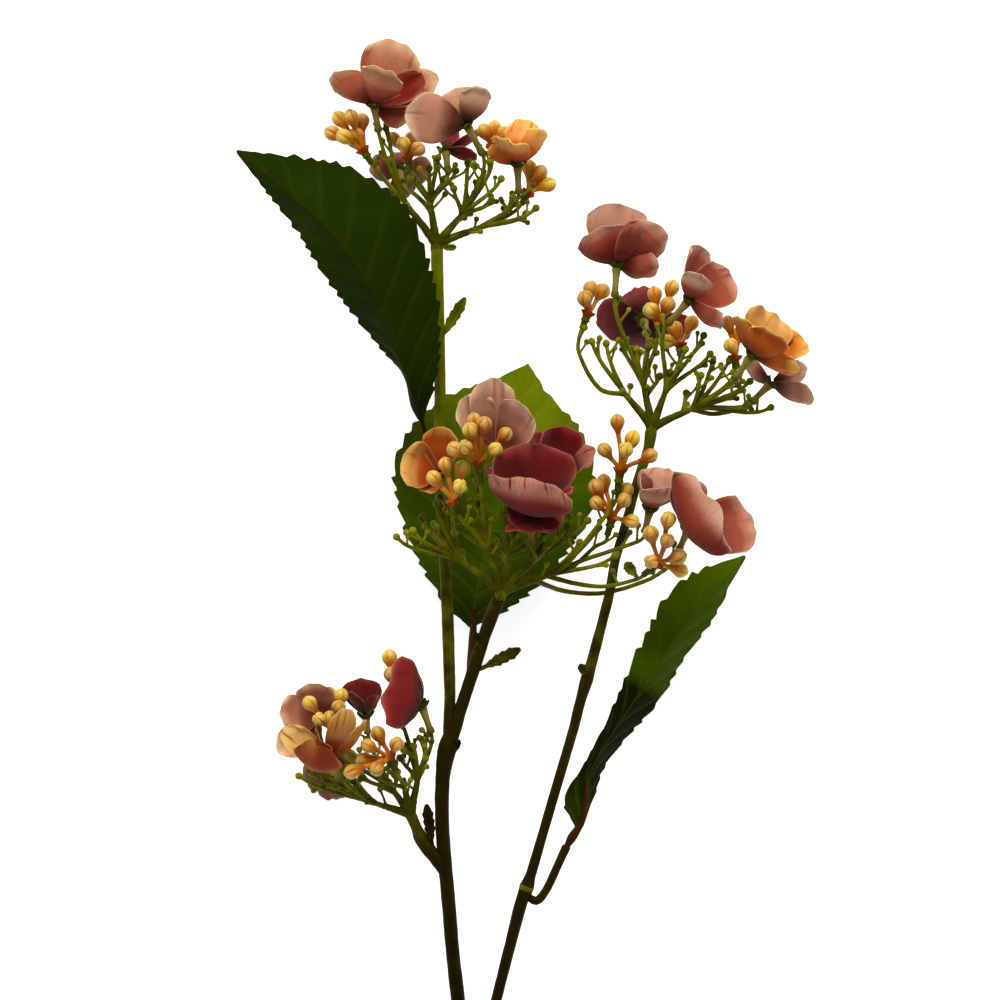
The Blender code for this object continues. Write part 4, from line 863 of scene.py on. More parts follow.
def addOrangeBud(sketch, node, middle, chance):
    belly = bud["radius"] * layout["mm"] * chance.uniform(0.92, 1.08)
    stalk = bud["stalk"] * layout["mm"]
    way = (middle - node).normalized()
    low = middle - way * belly * min(1.75, (middle - node).length / belly * 0.75)
    high = middle + way * belly * 1.05
    tone = chance.random()
    turn = chance.uniform(0, math.tau)
    bow = way.orthogonal().normalized() * (low - node).length * bud["stalkBow"]
    last = len(bud["stalkSizes"]) - 1
    points = [node.lerp(low, step / last) + bow * math.sin(math.pi * step / last)
              for step in range(last + 1)]
    radii = [stalk * size for size in bud["stalkSizes"]]
    sketch.tube(points, radii, bud["stalkSides"], lambda angle, step: (tone, 0.3 + step * 0.02, 0.1), 0)

    def seam(angle):
        off = math.sin(bud["lobes"] / 2 * (angle + turn))
        return math.exp(-abs(off / bud["seamWidth"]) ** 1.6)

    def swell(angle, step):
        place = bud["profile"][step][0]
        return 1 - bud["groove"] * seam(angle) * smooth(0.15, 0.55, place) * (1 + place * 0.6)

    def mark(angle, step):
        # redder in the seams and at the very tip
        place = bud["profile"][step][0]
        red = seam(angle) * smooth(0.3, 0.65, place) * 0.9 + smooth(0.93, 1.0, place) * 0.4
        return (tone, place, min(red, 1))
    points = [low.lerp(high, place) for place, _ in bud["profile"]]
    radii = [belly * size for _, size in bud["profile"]]
    radii[0] = stalk * 1.05
    sketch.tube(points, radii, bud["sides"], mark, 0, swell)


def addCollar(sketch, foot, node):
    # the short stalk with its ring, and the ragged ruff where the bud stalks meet
    stalk = bud["stalk"] * layout["mm"]
    way = (node - foot).normalized()
    start = foot - way * bud["collarSeat"] * layout["mm"]
    points = [start.lerp(node, place) for place, _ in bud["collarStations"]]
    radii = [stalk * size for _, size in bud["collarStations"]]
    sketch.tube(points, radii, bud["collarSides"], lambda angle, step: (0.5, 0.1, 0.2), 2)
    points = [node + way * height * layout["mm"] for height, _ in bud["ruffStations"]]
    radii = [stalk * size for _, size in bud["ruffStations"]]

    def swell(angle, step):
        ragged = bud["ruffDepth"] * math.sin(angle * bud["ruffTeeth"])
        ragged += bud["ruffFineDepth"] * math.sin(angle * bud["ruffFineTeeth"] + 1)
        return 1 + ragged * (step in (1, 2))
    sketch.tube(points, radii, bud["ruffSides"], lambda angle, step: (0.5, 0.2, 0.4 - step * 0.1), 1, swell)


def makeBunch(name, spec, chance):
    foot, node, buds = spec
    foot = spot(*foot)
    node = spot(*node)
    sketch = Sketch()
    addCollar(sketch, foot, node)
    for place in buds:
        addOrangeBud(sketch, node, spot(*place), chance)
    sketch.piece(name + "_cluster", [name], "bud_orange", ["bud", "collar", "cyme"])


for name, spec in bunches.items():
    makeBunch(name, spec, chance)
print("bunches made:", len(bunches))


# Leaves: a stalk, then the midrib and both edges, from base to tip; the shade stops paint light and
# shade along each leaf
leaves = {
    "leaf_upper_left": {
        "finish": "leafDark", "slot": "leaf_dark", "teeth": 24, "veinShow": 0.4,
        "stalkFinish": "stem",
        "shade": [(0, 0.2), (0.3, 0.4), (0.7, 0.5), (1, 0.5)],
        "stalk": [(433, 454, 37.5, 0.9), (429, 444, 39.5, 1.0), (425, 430, 43, 1.1),
                  (420, 412, 45.5, 1.0), (409, 380, 48.4, 0.7)],
        "left": [(419, 419, 45), (412, 405, 43.5), (405, 375, 42), (384, 350, 42), (350, 308, 42),
                 (321, 268, 43), (298, 230, 43), (273, 198, 41), (237.5, 152, 38)],
        "middle": [(421, 420, 45.5), (400, 356, 51), (387, 324, 53.5), (364, 274, 56),
                   (333, 232, 55), (287, 190, 49), (237, 150.5, 39)],
        "right": [(424, 419, 46), (436, 380, 48.5), (440, 350, 49.5), (437, 293, 50.5),
                  (421, 238, 54), (405, 205, 55), (355, 170, 52), (330, 162, 49), (238, 149, 39)],
    },
    "leaf_middle": {
        "finish": "leafBright", "slot": "leaf_bright", "teeth": 19, "veinShow": 0.9,
        "shade": [(0, 0.25), (0.35, 0.4), (0.6, 0.56), (0.8, 0.85), (1, 0.95)],
        "stalkFinish": "stalk",
        "stalk": [(470, 684, 41.5, 0.9), (470, 678, 36, 1.3), (471, 660, 27, 1.5),
                  (473, 640, 19, 1.7), (474.5, 610, 12.5, 1.0)],
        "left": [(469, 627, 15), (441, 599, 10), (404, 526, 3), (395, 458, 0.4), (434, 402, 0.4),
                 (500, 374, 0.4), (527, 362, 0.4)],
        "middle": [(471, 628, 15.5), (480, 580, 8), (500, 500, 0.5), (515, 430, 0.4),
                   (528.5, 360.5, 0.4)],
        "right": [(474, 627, 15), (519, 602, 10), (560, 562, 5), (596, 500, 0.6),
                  (584, 432, 0.4), (552, 395, 0.4), (530, 362, 0.4)],
    },
    "leaf_lower_right": {
        "finish": "leafTwisted", "slot": "leaf_dark", "teeth": 17, "veinShow": 0.8,
        "stalkFinish": "stalk",
        # painted shade over the lower half, where the twisted blade turns away
        "shade": [(0, 0.2), (0.12, 0.1), (0.2, 0.0), (0.45, 0.0), (0.52, 0.45), (1, 0.6)],
        "stalk": [(567, 848.3, 21.6, 1.2), (573, 838, 22, 1.9), (580, 827, 22.3, 1.5),
                  (586, 810, 22.6, 1.1), (588, 782, 23, 0.8)],
        "left": [(576, 828, 22.5), (565, 800, 27), (585, 764, 25), (607, 722, 24), (641, 647, 21),
                 (673, 590, 18), (704, 569, 15), (746, 555, 11)],
        "middle": [(580, 828, 22), (589, 780, 21.5), (603, 750, 21), (643, 690, 20),
                   (692, 620, 17), (748, 555, 11.5)],
        "right": [(584, 828, 21.5), (594, 800, 17), (609, 762, 12), (661, 701, 8), (686, 659, 6),
                  (716, 618, 6), (734, 582, 8), (748.5, 557, 11)],
    },
}
# lengths in millimetres; columns crowd to the midrib, veinTurns sets how fast the veins follow on
leaf = {
    "halfColumns": 24, "rowsPerTooth": 8, "crowding": 0.85, "thickness": 0.6,
    "toothDepth": 2.3, "toothPeak": 0.82, "veins": 8, "veinTurns": 1.15, "veinLean": 0.2,
    "veinWidth": 0.011, "ribWidth": 0.045, "veinDepth": 0.35, "quilt": 0.5,
}


def valueAlong(stops, way):
    # value between (way, value) stops
    for (start, first), (end, second) in zip(stops, stops[1:]):
        if way <= end:
            return first + (second - first) * smooth(start, end, way)
    return stops[-1][1]


def leafVein(across, along):
    # how near a point lies to a side vein, the quilted rise between the veins, and the midrib
    slanted = along - leaf["veinLean"] * abs(across) ** 0.8 * (1 - along * 0.35)
    phase = slanted * leaf["veins"] * leaf["veinTurns"]
    off = abs(phase - round(phase)) / leaf["veins"]
    near = math.exp(-(off / leaf["veinWidth"]) ** 2) * (1 - smooth(0.75, 1.0, abs(across)))
    rise = math.sin(math.pi * (phase - math.floor(phase))) * smooth(0.0, 0.25, abs(across))
    rib = math.exp(-(across / leaf["ribWidth"]) ** 2)
    return near * smooth(0.0, 0.06, abs(across)), rise, rib


def leafRule(spec):
    # gives a point of the toothed leaf from the way across (-1 to 1) and along (0 to 1)
    rails = {side: [spot(*point) for point in spec[side]] for side in ("left", "middle", "right")}
    teeth = spec["teeth"]

    def place(across, along):
        middle = railPoint(rails["middle"], along)
        if across == 0:
            return middle
        edge = railPoint(rails["left" if across < 0 else "right"], along)
        out = edge - middle
        reach = out.length
        uneven = along * teeth + 0.3 * math.sin(along * 31 + across) + (0.4 if across < 0 else 0)
        tooth = uneven % 1
        saw = min(tooth / leaf["toothPeak"], (1 - tooth) / (1 - leaf["toothPeak"]))
        size = leaf["toothDepth"] * layout["mm"] * smooth(0.002, 0.012, reach)
        size *= 0.85 + 0.25 * math.sin(math.floor(uneven) * 2.3)
        grow = (saw - 0.45) * size * smooth(0.86, 1.0, abs(across))
        if reach > 0:
            out += out / reach * grow
        return middle + out * abs(across)
    return place


def addLeafBlade(sketch, spec):
    place = leafRule(spec)
    half = leaf["halfColumns"]
    rows = spec["teeth"] * leaf["rowsPerTooth"]
    lowest = leaf["thickness"] / 2 * layout["mm"]
    ways = [math.copysign(abs(c / half) ** leaf["crowding"], c) for c in range(-half, half + 1)]
    grid = [[place(way, r / rows) for way in ways] for r in range(rows + 1)]
    shaped = []
    relief = []
    for r, row in enumerate(grid):
        strength = smooth(0.0, 0.03, (row[-1] - row[0]).length) * layout["mm"]
        shapedRow = []
        reliefRow = []
        for c, point in enumerate(row):
            near, rise, rib = leafVein(ways[c], r / rows)
            ahead = grid[min(r + 1, rows)][c] - grid[max(r - 1, 0)][c]
            beside = row[min(c + 1, 2 * half)] - row[max(c - 1, 0)]
            normal = beside.cross(ahead).normalized()
            height = rise * leaf["quilt"] * 0.5 - (near + rib) * leaf["veinDepth"]
            raised = point + normal * height * strength
            raised.z = max(raised.z, lowest)
            shapedRow.append(raised)
            reliefRow.append(min(near + rib * 0.9, 1) * spec["veinShow"])
        shaped.append(shapedRow)
        relief.append(reliefRow)
    sketch.blade(shaped, leaf["thickness"] * layout["mm"],
                 lambda side, r, c: (valueAlong(spec["shade"], r / rows), side, relief[r][c]), 0)


def addRoundRod(sketch, stations, sides, finish, mark, spacing=1.5, swell=None):
    # smooth round rod through layout stations (across, down, height, radius), a ring each spacing
    points = [spot(*station[:3]) for station in stations]
    ways = wayMarks(points)
    steps = max(4, round(ways[-1] / (spacing * layout["mm"])))
    sizes = [(way / ways[-1], station[3] * layout["mm"]) for way, station in zip(ways, stations)]
    radii = [valueAlong(sizes, step / steps) for step in range(steps + 1)]
    line = [railPoint(points, step / steps) for step in range(steps + 1)]
    sketch.tube(line, radii, sides, lambda angle, step: mark(angle, step / steps), finish,
                (lambda angle, step: swell(angle, step / steps)) if swell else None)


def makeLeaf(name, spec):
    sketch = Sketch()
    addLeafBlade(sketch, spec)
    addRoundRod(sketch, spec["stalk"], 12, 1, lambda angle, way: (0.5, 0.3, 0.1))
    sketch.piece(name + "_printed", [name], spec["slot"],
                 [spec["finish"], spec["stalkFinish"]], 50)


for name, spec in leaves.items():
    makeLeaf(name, spec)
print("leaves made:", len(leaves))


# Stem: stations (across, down, height, radius in millimetres), and how green it is from end to end
stemPaths = {
    "main": {"green": (0.05, 0.4), "sides": 20, "stations": [
        (468, 1200, 2.7, 3.0), (469, 1160, 2.9, 2.9), (471, 1112, 4.2, 3.1), (466, 1065, 8, 2.6),
        (461, 1030, 11, 2.7), (457.5, 998, 14, 2.9), (452.5, 950, 20, 2.8), (448.5, 900, 25, 2.8),
        (445, 860, 29, 2.8), (442.5, 820, 33, 2.8), (443, 780, 36.5, 2.9), (447.5, 748, 39.5, 3.7),
        (454.5, 727, 41, 3.1), (460.5, 710, 42.5, 2.6), (467, 690, 44, 2.5), (477, 660, 47, 2.6),
        (485, 635, 50, 2.5), (493, 612, 53, 2.8), (499, 597, 55, 2.6)]},
    "topArm": {"green": (0.45, 0.85), "sides": 18, "stations": [
        (448, 745, 40, 1.8), (449.5, 722, 41, 2.3), (450.5, 695, 41, 2.3), (449.5, 660, 40, 2.4),
        (447.5, 600, 38, 2.4), (444.5, 550, 37, 2.3), (441.5, 500, 36.5, 2.3),
        (440.5, 450, 36.5, 2.3), (440.5, 400, 37, 2.3), (440, 350, 38.5, 2.3),
        (439, 300, 40.5, 2.3), (437.6, 248, 42, 2.4)]},
    "rightArm": {"green": (0.1, 0.65), "sides": 18, "stations": [
        (471, 1112, 4.5, 1.8), (480, 1066, 7, 2.2), (489.5, 1030, 9.5, 2.2), (498, 998, 12, 2.2),
        (510, 950, 16.5, 2.3), (521.5, 905, 20.5, 2.6), (527, 889, 22, 2.9), (531.5, 875, 23, 2.1),
        (544.5, 830, 26.5, 2.0), (559, 780, 30, 2.0), (573.5, 730, 33.5, 2.0), (581, 700, 35.5, 2.1),
        (587, 679, 36.5, 2.6), (592, 662, 37, 2.2), (603, 620, 39, 2.0), (610, 592, 40, 2.0),
        (615.5, 560, 41, 1.9), (627, 520, 41.8, 1.9), (638, 480, 41.7, 1.9), (648, 450, 43, 2.1),
        (651.5, 431, 44, 2.4)]},
    "lowBranch": {"green": (0.2, 0.6), "sides": 16, "stations": [
        (445, 875, 28.5, 1.7), (437, 860, 30, 2.6), (428, 848, 31.5, 2.9), (421, 837, 33, 2.9),
        (417, 827, 34.3, 2.2), (413, 818, 35, 2.2)]},
    "leafBranch": {"green": (0.2, 0.35), "sides": 14, "stations": [
        (526, 896, 21, 1.5), (537, 902, 20.5, 1.8), (547, 891, 20.5, 1.7), (557.5, 869, 21, 1.7),
        (567.5, 847, 21.6, 1.8)]},
}
stem = {
    "ridges": 5, "ridgeDepth": 0.025, "ridgeTwist": 6, "lumps": 0.05, "lumpWaves": 60,
    "ringSpacing": 1.2, "bractThickness": 0.5, "bractTeeth": 6, "bractBow": 0.7, "bractWave": 0.6,
    "ringSides": 18, "ringPale": 0.75, "ringStep": 0.8,
    "ring": [(525.9, 892, 21.6, 2.6), (526.4, 890.5, 21.8, 3.0), (527.6, 887, 22.1, 3.05),
             (528.4, 885, 22.3, 2.5)],
}
# small toothed bracts: base, tip, half width in millimetres, greenness
bracts = [
    ((440, 340, 39), (466, 297, 43), 2.2, 0.8),
    ((480, 668, 46.5), (521, 647, 52), 2.4, 0.5),
    ((433, 848, 32), (427, 803, 39), 2.2, 0.3),
    ((588, 676, 38), (580, 663, 40.5), 1.7, 0.5),
    ((441, 247, 43), (457, 247, 45), 1.3, 0.7),
    ((482, 648, 50), (475, 630, 52), 1.6, 0.5),
    ((455, 752, 42), (460, 738, 44), 1.2, 0.3),
]


def addBract(sketch, base, tip, halfWidth, green):
    base = spot(*base)
    tip = spot(*tip)
    ahead = tip - base
    up = Vector((0, 0, layout["mm"]))
    side = ahead.cross(up).normalized()
    half = halfWidth * layout["mm"]
    grid = []
    count = stem["bractTeeth"] * 4
    for r in range(count + 1):
        along = r / count
        saw = (along * stem["bractTeeth"]) % 1
        breadth = half * (0.35 + 0.65 * smooth(0.1, 0.5, along)) * (1 - smooth(0.8, 1.02, along) * 0.75)
        row = []
        for c in range(-4, 5):
            across = c / 4
            grow = 1 + 0.35 * (saw - 0.5) * smooth(0.6, 1, abs(across))
            lift = stem["bractBow"] * abs(across) + stem["bractWave"] * math.sin(along * 9)
            row.append(base + ahead * along + side * breadth * grow * across + up * lift)
        grid.append(row)
    sketch.blade(grid, stem["bractThickness"] * layout["mm"],
                 lambda s, r, c: (0.5, green, 0.5 if c == 4 else 0), 0)


def makeStem():
    sketch = Sketch()
    for label, path in stemPaths.items():
        low, high = path["green"]
        seed = Vector((len(label) * 3.7, 0, 0))

        def swell(angle, way):
            ridge = math.cos(stem["ridges"] * angle + way * stem["ridgeTwist"]) * stem["ridgeDepth"]
            bump = Vector((math.cos(angle), math.sin(angle), way * stem["lumpWaves"]))
            return 1 + ridge + noise.noise(bump + seed) * stem["lumps"]

        def mark(angle, way):
            return (0.5, low + (high - low) * way, 0)
        addRoundRod(sketch, path["stations"], path["sides"], 0, mark, stem["ringSpacing"], swell)
    addRoundRod(sketch, stem["ring"], stem["ringSides"], 0,
                lambda angle, way: (0.5, stem["ringPale"], 0), stem["ringStep"])
    for base, tip, halfWidth, green in bracts:
        addBract(sketch, base, tip, halfWidth, green)
    sketch.piece("stem_moulded", ["stem"], "stem_brown", ["stem"])


makeStem()
print("stem made")


# Heads: the hub, the way the head grows, the rays that end in green buds, and points that a
# long ray passes on its way to a foot
heads = {
    "top": {
        "hub": (437, 246, 42), "growth": (0, 1, 0.05),
        "limbs": [(407, 204, 45), (431, 203, 43), (462, 215, 45), (480, 227, 42)],
        "greenTips": [(534, 210, 46), (468, 166, 46), (430, 172, 52), (500, 182, 51),
                      (388, 128, 44), (455, 172, 34), (415, 180, 46), (480, 182, 40),
                      (444, 182, 48), (512, 206, 40), (455, 192, 52),
                      (490, 203, 46), (438, 160, 38), (524, 215, 42), (474, 196, 44)],
        "via": {},
    },
    "right": {
        "hub": (652, 428.5, 44), "growth": (0.2, 0.97, 0),
        "limbs": [(625, 393, 46), (644, 386, 45), (665, 392, 47), (692, 408, 46)],
        "greenTips": [(593, 344, 47), (624, 346, 40), (702, 338, 50), (712, 364, 42),
                      (747, 383, 50), (768, 408, 42), (648, 350, 54), (637, 352, 46),
                      (684, 352, 52), (728, 362, 44), (607, 346, 44), (708, 356, 47),
                      (700, 378, 49), (669, 375, 50), (659, 378, 40), (686, 395, 40),
                      (739, 391, 39), (752, 402, 46)],
        "via": {"buds_right_1": [(600, 388, 46), (579, 352, 47)],
                "bloom_right_5": [(715, 413, 41)]},
    },
    "middle": {
        "hub": (501.5, 592, 55.5), "growth": (0.2, 0.95, 0.1),
        "limbs": [(463, 560, 56), (488, 549, 62), (510, 552, 56), (533, 560, 57), (548, 574, 54)],
        "greenTips": [(400, 538, 58), (436, 526, 50), (492, 522, 62), (562, 535, 50),
                      (612, 556, 60), (470, 520, 56), (506, 520, 52), (515, 536, 58),
                      (547, 517, 52), (480, 506, 60), (578, 544, 54), (456, 536, 52),
                      (586, 522, 50), (424, 520, 54), (416, 532, 60), (597, 529, 54),
                      (531, 530, 62), (546, 547, 60), (461, 528, 62), (500, 536, 50),
                      (438, 506, 54), (487, 538, 52), (566, 528, 56), (522, 548, 54)],
        "bracts": [((637, 576, 53), (625, 561, 55), 2.2)],
        "via": {"buds_middle_3": [(566, 563, 58), (598, 524, 58)],
                "buds_middle_4": [(572, 566, 50), (596, 545, 49)],
                "buds_middle_5": [(575, 582, 50), (605, 585, 49)],
                "bloom_middle_5": [(565, 590, 40), (605, 592, 34), (650, 578, 38), (674, 561, 48)],
                "bloom_middle_6": [(580, 560, 54), (625, 545, 50)]},
    },
    "low": {
        "hub": (412, 815.5, 35.3), "growth": (-0.45, 0.85, 0.1),
        "limbs": [(377, 803, 35), (394, 790, 36), (405, 786, 42), (418, 780, 38)],
        "greenTips": [(302, 777, 36), (426, 742, 29), (415, 748, 40), (350, 772, 30),
                      (384, 776, 34), (330, 776, 40), (366, 778, 42), (402, 760, 34),
                      (426, 760, 44), (392, 782, 46), (341, 768, 33), (372, 764, 34),
                      (408, 748, 36), (398, 774, 38), (316, 774, 40), (356, 782, 40)],
        "via": {},
    },
}
# lengths in millimetres; size and limbSize run from a ray's start to its end, the profiles give
# way up and breadth, forks and twigPlaces are shares of the way
ray = {
    "size": (1.05, 0.75), "limbSize": (1.9, 1.1), "sides": 12, "steps": 22, "bend": 1.2, "lumps": 0.14,
    "green": (0.1, 0.26), "limbGreen": (0.0, 0.12), "bractGreen": 0.2,
    "hub": [(-2.6, 2.0), (-1.4, 2.25), (0, 2.3), (1.2, 2.1), (2.2, 1.5)], "hubSides": 16, "hubSink": 1.1,
    "clearance": 0.6, "seatGap": 0.6, "seatSink": 1.2, "forks": (0.45, 0.7, 0.97),
    "bows": (0, 2, 4, 6, 9, 12), "bowTurns": 8, "probes": 20, "lastStretch": 3,
    "budRadius": 1.4, "budLength": 2.2, "budSides": 12, "budSize": 1.15, "budSink": 0.6,
    "budProfile": [(0, 0.42), (0.18, 0.6), (0.36, 0.9), (0.55, 1.0), (0.72, 0.92), (0.86, 0.66),
                   (0.95, 0.34), (1, 0.1)],
    "twigs": 60, "twigPlaces": (0.85, 0.7, 0.55), "twigTries": 8, "twigLengths": (3.5, 7.5),
    "twigGap": 3.2, "twigRoom": 1.2, "twigFloor": 4, "twigBow": 0.08, "twigRadius": 0.55,
    "twigSizes": (1.5, 1.15, 1, 0.95, 0.9, 0.9, 0.95, 1.1), "twigSides": 8, "twigBudSink": 0.4,
}


class Clearance:
    # distance from a point to the bodies already in place

    def __init__(self, nodes):
        self.trees = []
        for name in nodes:
            bm = bmesh.new()
            bm.from_mesh(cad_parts[name].data)
            self.trees.append(BVHTree.FromBMesh(bm))
            bm.free()

    def along(self, points):
        return min(tree.find_nearest(point)[3] for point in points for tree in self.trees)


def rayPoints(start, ahead, foot, arrival, via, bow, steps):
    # points of a ray that leaves start the way ahead, fans out and turns up to its foot
    if via:
        knots = [start, *via, foot - arrival * ray["lastStretch"] * layout["mm"], foot]
        return [railPoint(knots, step / steps) for step in range(steps + 1)]
    length = (foot - start).length
    first = start + (ahead * 0.5 + (foot - start) / length * 0.5) * length * 0.35 + bow
    second = foot - arrival * length * 0.3 + bow
    points = []
    for step in range(steps + 1):
        t = step / steps
        points.append(start * (1 - t) ** 3 + first * 3 * t * (1 - t) ** 2
                      + second * 3 * t ** 2 * (1 - t) + foot * t ** 3)
    return points


def clearRay(clearance, start, ahead, foot, arrival, via):
    # the least bowed ray that keeps clear of the other bodies
    up = Vector((0, 0, 1))
    across = ahead.cross(up).normalized()
    enough = (ray["size"][0] + ray["clearance"]) * layout["mm"]
    most = None
    for size in ray["bows"]:
        for turn in range(ray["bowTurns"] if size else 1):
            angle = turn * math.tau / ray["bowTurns"]
            bow = (across * math.cos(angle) + up * math.sin(angle)) * size * layout["mm"]
            probes = rayPoints(start, ahead, foot, arrival, via, bow, ray["probes"])
            room = clearance.along(probes[3:-2])  # the ends touch what they grow from
            if room > enough:
                return rayPoints(start, ahead, foot, arrival, via, bow, ray["steps"])
            if most is None or room > most:
                most = room
                best = bow
    return rayPoints(start, ahead, foot, arrival, via, best, ray["steps"])


def fork(limbs, foot):
    # where a ray leaves the limbs: the place that bends it least for its length, and the way there
    least = None
    for points in limbs:
        for way in ray["forks"]:
            start = railPoint(points, way)
            ahead = (railPoint(points, way + 0.03) - railPoint(points, way - 0.03)).normalized()
            reach = foot - start
            cost = reach.length * (1 + ray["bend"] * (1 - reach.normalized().dot(ahead)))
            if least is None or cost < least:
                least = cost
                best = (start, ahead)
    return best


def headFeet(head):
    # where each ray of a head ends: the name of what it bears, the foot and the way to arrive
    feet = []
    gap = ray["seatGap"] * layout["mm"]
    ends = [(name, spec["foot"], spec["centre"]) for name, spec in blooms.items()]
    ends += [(name, foot, node) for name, (foot, node, _) in bunches.items()]
    for name, foot, above in ends:
        if "_" + head + "_" in name:
            arrival = (spot(*above) - spot(*foot)).normalized()
            feet.append((name, spot(*foot) - arrival * gap, arrival))
    return feet


def addGreenBud(sketch, base, way, size, chance):
    # small closed bud: a bead with a short neck and a dark tip
    radius = ray["budRadius"] * layout["mm"] * size
    profile = ray["budProfile"]
    tone = chance.uniform(-0.12, 0.2)
    points = [base + way * radius * ray["budLength"] * place for place, _ in profile]
    radii = [radius * breadth for _, breadth in profile]

    def mark(angle, step):
        return (0.5, 0.2 + tone, smooth(0.75, 1.0, profile[step][0]) * 0.5)
    sketch.tube(points, radii, ray["budSides"], mark, 0,
                lambda angle, step: 1 + 0.07 * math.cos(4 * angle) * (1 < step < 7))


def addRay(sketch, points, size, green, chance, budded=False):
    last = len(points) - 1
    seed = Vector((chance.uniform(0, 50), 0, 0))
    radii = [(size[0] + (size[1] - size[0]) * step / last) * layout["mm"] for step in range(last + 1)]

    def swell(angle, step):
        bump = Vector((math.cos(angle), math.sin(angle), step * 0.9))
        return 1 + ray["lumps"] * noise.noise(bump + seed)

    def mark(angle, step):
        return (0.5, green[0] + (green[1] - green[0]) * step / last, 0)
    sketch.tube(points, radii, ray["sides"], mark, 0, swell)
    if budded:
        way = (points[-1] - points[-2]).normalized()
        addGreenBud(sketch, points[-1] - way * ray["budSink"] * layout["mm"], way, ray["budSize"], chance)


def addTwigs(sketch, rays, growth, clearance, chance):
    # short side twigs with a green bud each, wherever a ray has room for them
    taken = []
    mm = layout["mm"]
    for way in ray["twigPlaces"]:
        for points in rays:
            if len(taken) == ray["twigs"]:
                return
            start = railPoint(points, way)
            ahead = (railPoint(points, way + 0.05) - start).normalized()
            for _ in range(ray["twigTries"]):
                aside = Vector([chance.uniform(-1, 1) for _ in range(3)]).normalized()
                lean = (ahead * 0.5 + growth * 0.4 + aside * 0.75).normalized()
                end = start + lean * chance.uniform(*ray["twigLengths"]) * mm
                room = clearance.along([start.lerp(end, 0.5), start.lerp(end, 0.8), end])
                apart = min([(end - other).length for other in taken], default=1)
                wide = room > ray["twigRoom"] * mm and apart > ray["twigGap"] * mm
                if wide and end.z > ray["twigFloor"] * mm:
                    addTwig(sketch, start, end, lean, growth, chance)
                    taken.append(end)
                    break


def addTwig(sketch, start, end, lean, growth, chance):
    middle = start.lerp(end, 0.5) + (lean - growth).normalized() * (end - start).length * ray["twigBow"]
    last = len(ray["twigSizes"]) - 1
    points = []
    for step in range(last + 1):
        t = step / last
        points.append(start * (1 - t) ** 2 + middle * 2 * t * (1 - t) + end * t ** 2)
    radii = [ray["twigRadius"] * layout["mm"] * size for size in ray["twigSizes"]]
    sketch.tube(points, radii, ray["twigSides"], lambda angle, step: (0.5, 0.2 + step * 0.02, 0), 0)
    way = (points[-1] - points[-2]).normalized()
    base = points[-1] - way * ray["twigBudSink"] * layout["mm"]
    addGreenBud(sketch, base, way, chance.uniform(0.7, 1.0), chance)


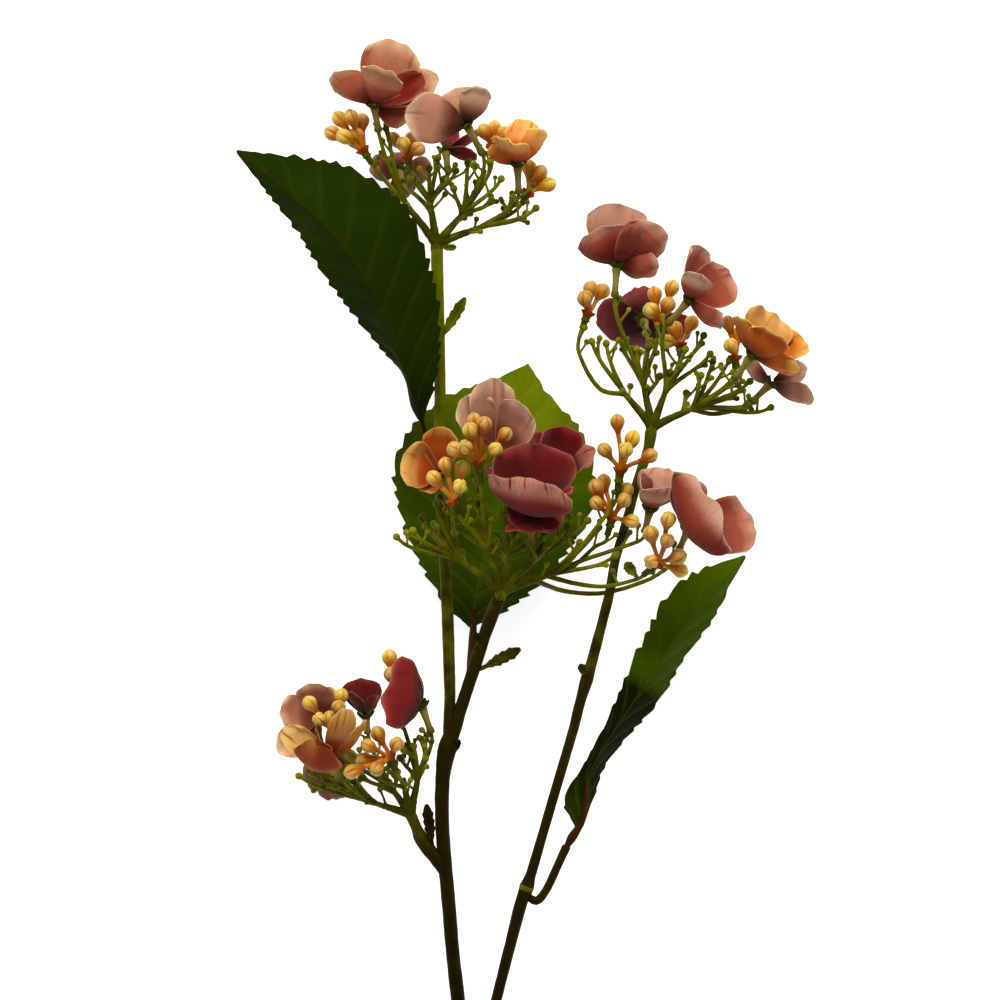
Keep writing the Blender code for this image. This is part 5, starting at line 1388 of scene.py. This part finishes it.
def makeCyme(head, spec, obstacles, chance):
    hub = spot(*spec["hub"])
    growth = Vector(spec["growth"]).normalized()
    clearance = Clearance(obstacles)
    sketch = Sketch()
    sketch.tube([hub + growth * height * layout["mm"] for height, _ in ray["hub"]],
                [size * layout["mm"] for _, size in ray["hub"]], ray["hubSides"],
                lambda angle, step: (0.5, 0.1, 0.1), 0,
                lambda angle, step: 1 + 0.06 * math.cos(5 * angle))
    limbs = []
    for end in spec["limbs"]:
        end = spot(*end)
        ahead = ((end - hub).normalized() + growth * 0.5).normalized()
        start = hub + ahead * ray["hubSink"] * layout["mm"]
        limbs.append(clearRay(clearance, start, ahead, end, (end - hub).normalized(), []))
        addRay(sketch, limbs[-1], ray["limbSize"], ray["limbGreen"], chance)
    rays = []
    for name, foot, arrival in headFeet(head):
        via = [spot(*point) for point in spec["via"].get(name, [])]
        start, ahead = fork(limbs, (via or [foot])[0])
        rays.append(clearRay(clearance, start, ahead, foot, arrival, via))
        rays[-1][-1] += arrival * ray["seatSink"] * layout["mm"]
        addRay(sketch, rays[-1], ray["size"], ray["green"], chance)
    for tip in spec["greenTips"]:
        tip = spot(*tip)
        start, ahead = fork(limbs, tip)
        arrival = ((tip - start).normalized() + growth * 0.6).normalized()
        rays.append(clearRay(clearance, start, ahead, tip, arrival, []))
        addRay(sketch, rays[-1], ray["size"], ray["green"], chance, True)
    for base, tip, halfWidth in spec.get("bracts", []):
        addBract(sketch, base, tip, halfWidth, ray["bractGreen"])
    addTwigs(sketch, rays + limbs, growth, clearance, chance)
    sketch.piece("cyme_" + head + "_moulded", ["cyme_" + head], "cyme_green", ["cyme"])


obstacles = ["stem", *leaves, *blooms, *bunches]
for head, spec in heads.items():
    makeCyme(head, spec, obstacles, chance)
    obstacles.append("cyme_" + head)
print("cymes made:", len(heads))


# Floor, light and camera
def makeFloor():
    bpy.ops.mesh.primitive_grid_add(x_subdivisions=2, y_subdivisions=2, size=studio["floorSize"])
    floor = bpy.context.object
    floor.name = "floor"
    floor.data.materials.append(litAcrylic())


def makeLight(name, place, size, power, colour):
    data = bpy.data.lights.new(name, "AREA")
    data.size = size
    data.energy = power
    data.color = toLinear(colour)[:3]
    light = bpy.data.objects.new(name, data)
    light.location = place
    aim = Vector(studio["lightAim"]) - Vector(place)
    light.rotation_euler = aim.to_track_quat("-Z", "Y").to_euler()
    bpy.context.scene.collection.objects.link(light)


def makeWorld():
    world = bpy.data.worlds.new("studio")
    world.use_nodes = True
    backdrop = world.node_tree.nodes["Background"]
    backdrop.inputs["Color"].default_value = toLinear(studio["worldColour"])
    backdrop.inputs["Strength"].default_value = studio["world"]
    bpy.context.scene.world = world


def makeCamera():
    data = bpy.data.cameras.new("camera")
    data.lens = studio["lens"]
    data.sensor_width = studio["sensor"]
    camera = bpy.data.objects.new("camera", data)
    camera.location = studio["cameraPlace"]
    bpy.context.scene.collection.objects.link(camera)
    bpy.context.scene.camera = camera


makeFloor()
for name in ("key", "fill"):
    makeLight(name, *[studio[name + value] for value in ("Place", "Size", "Power", "Colour")])
makeWorld()
makeCamera()
bpy.context.scene.view_settings.view_transform = "Standard"
print("studio made")
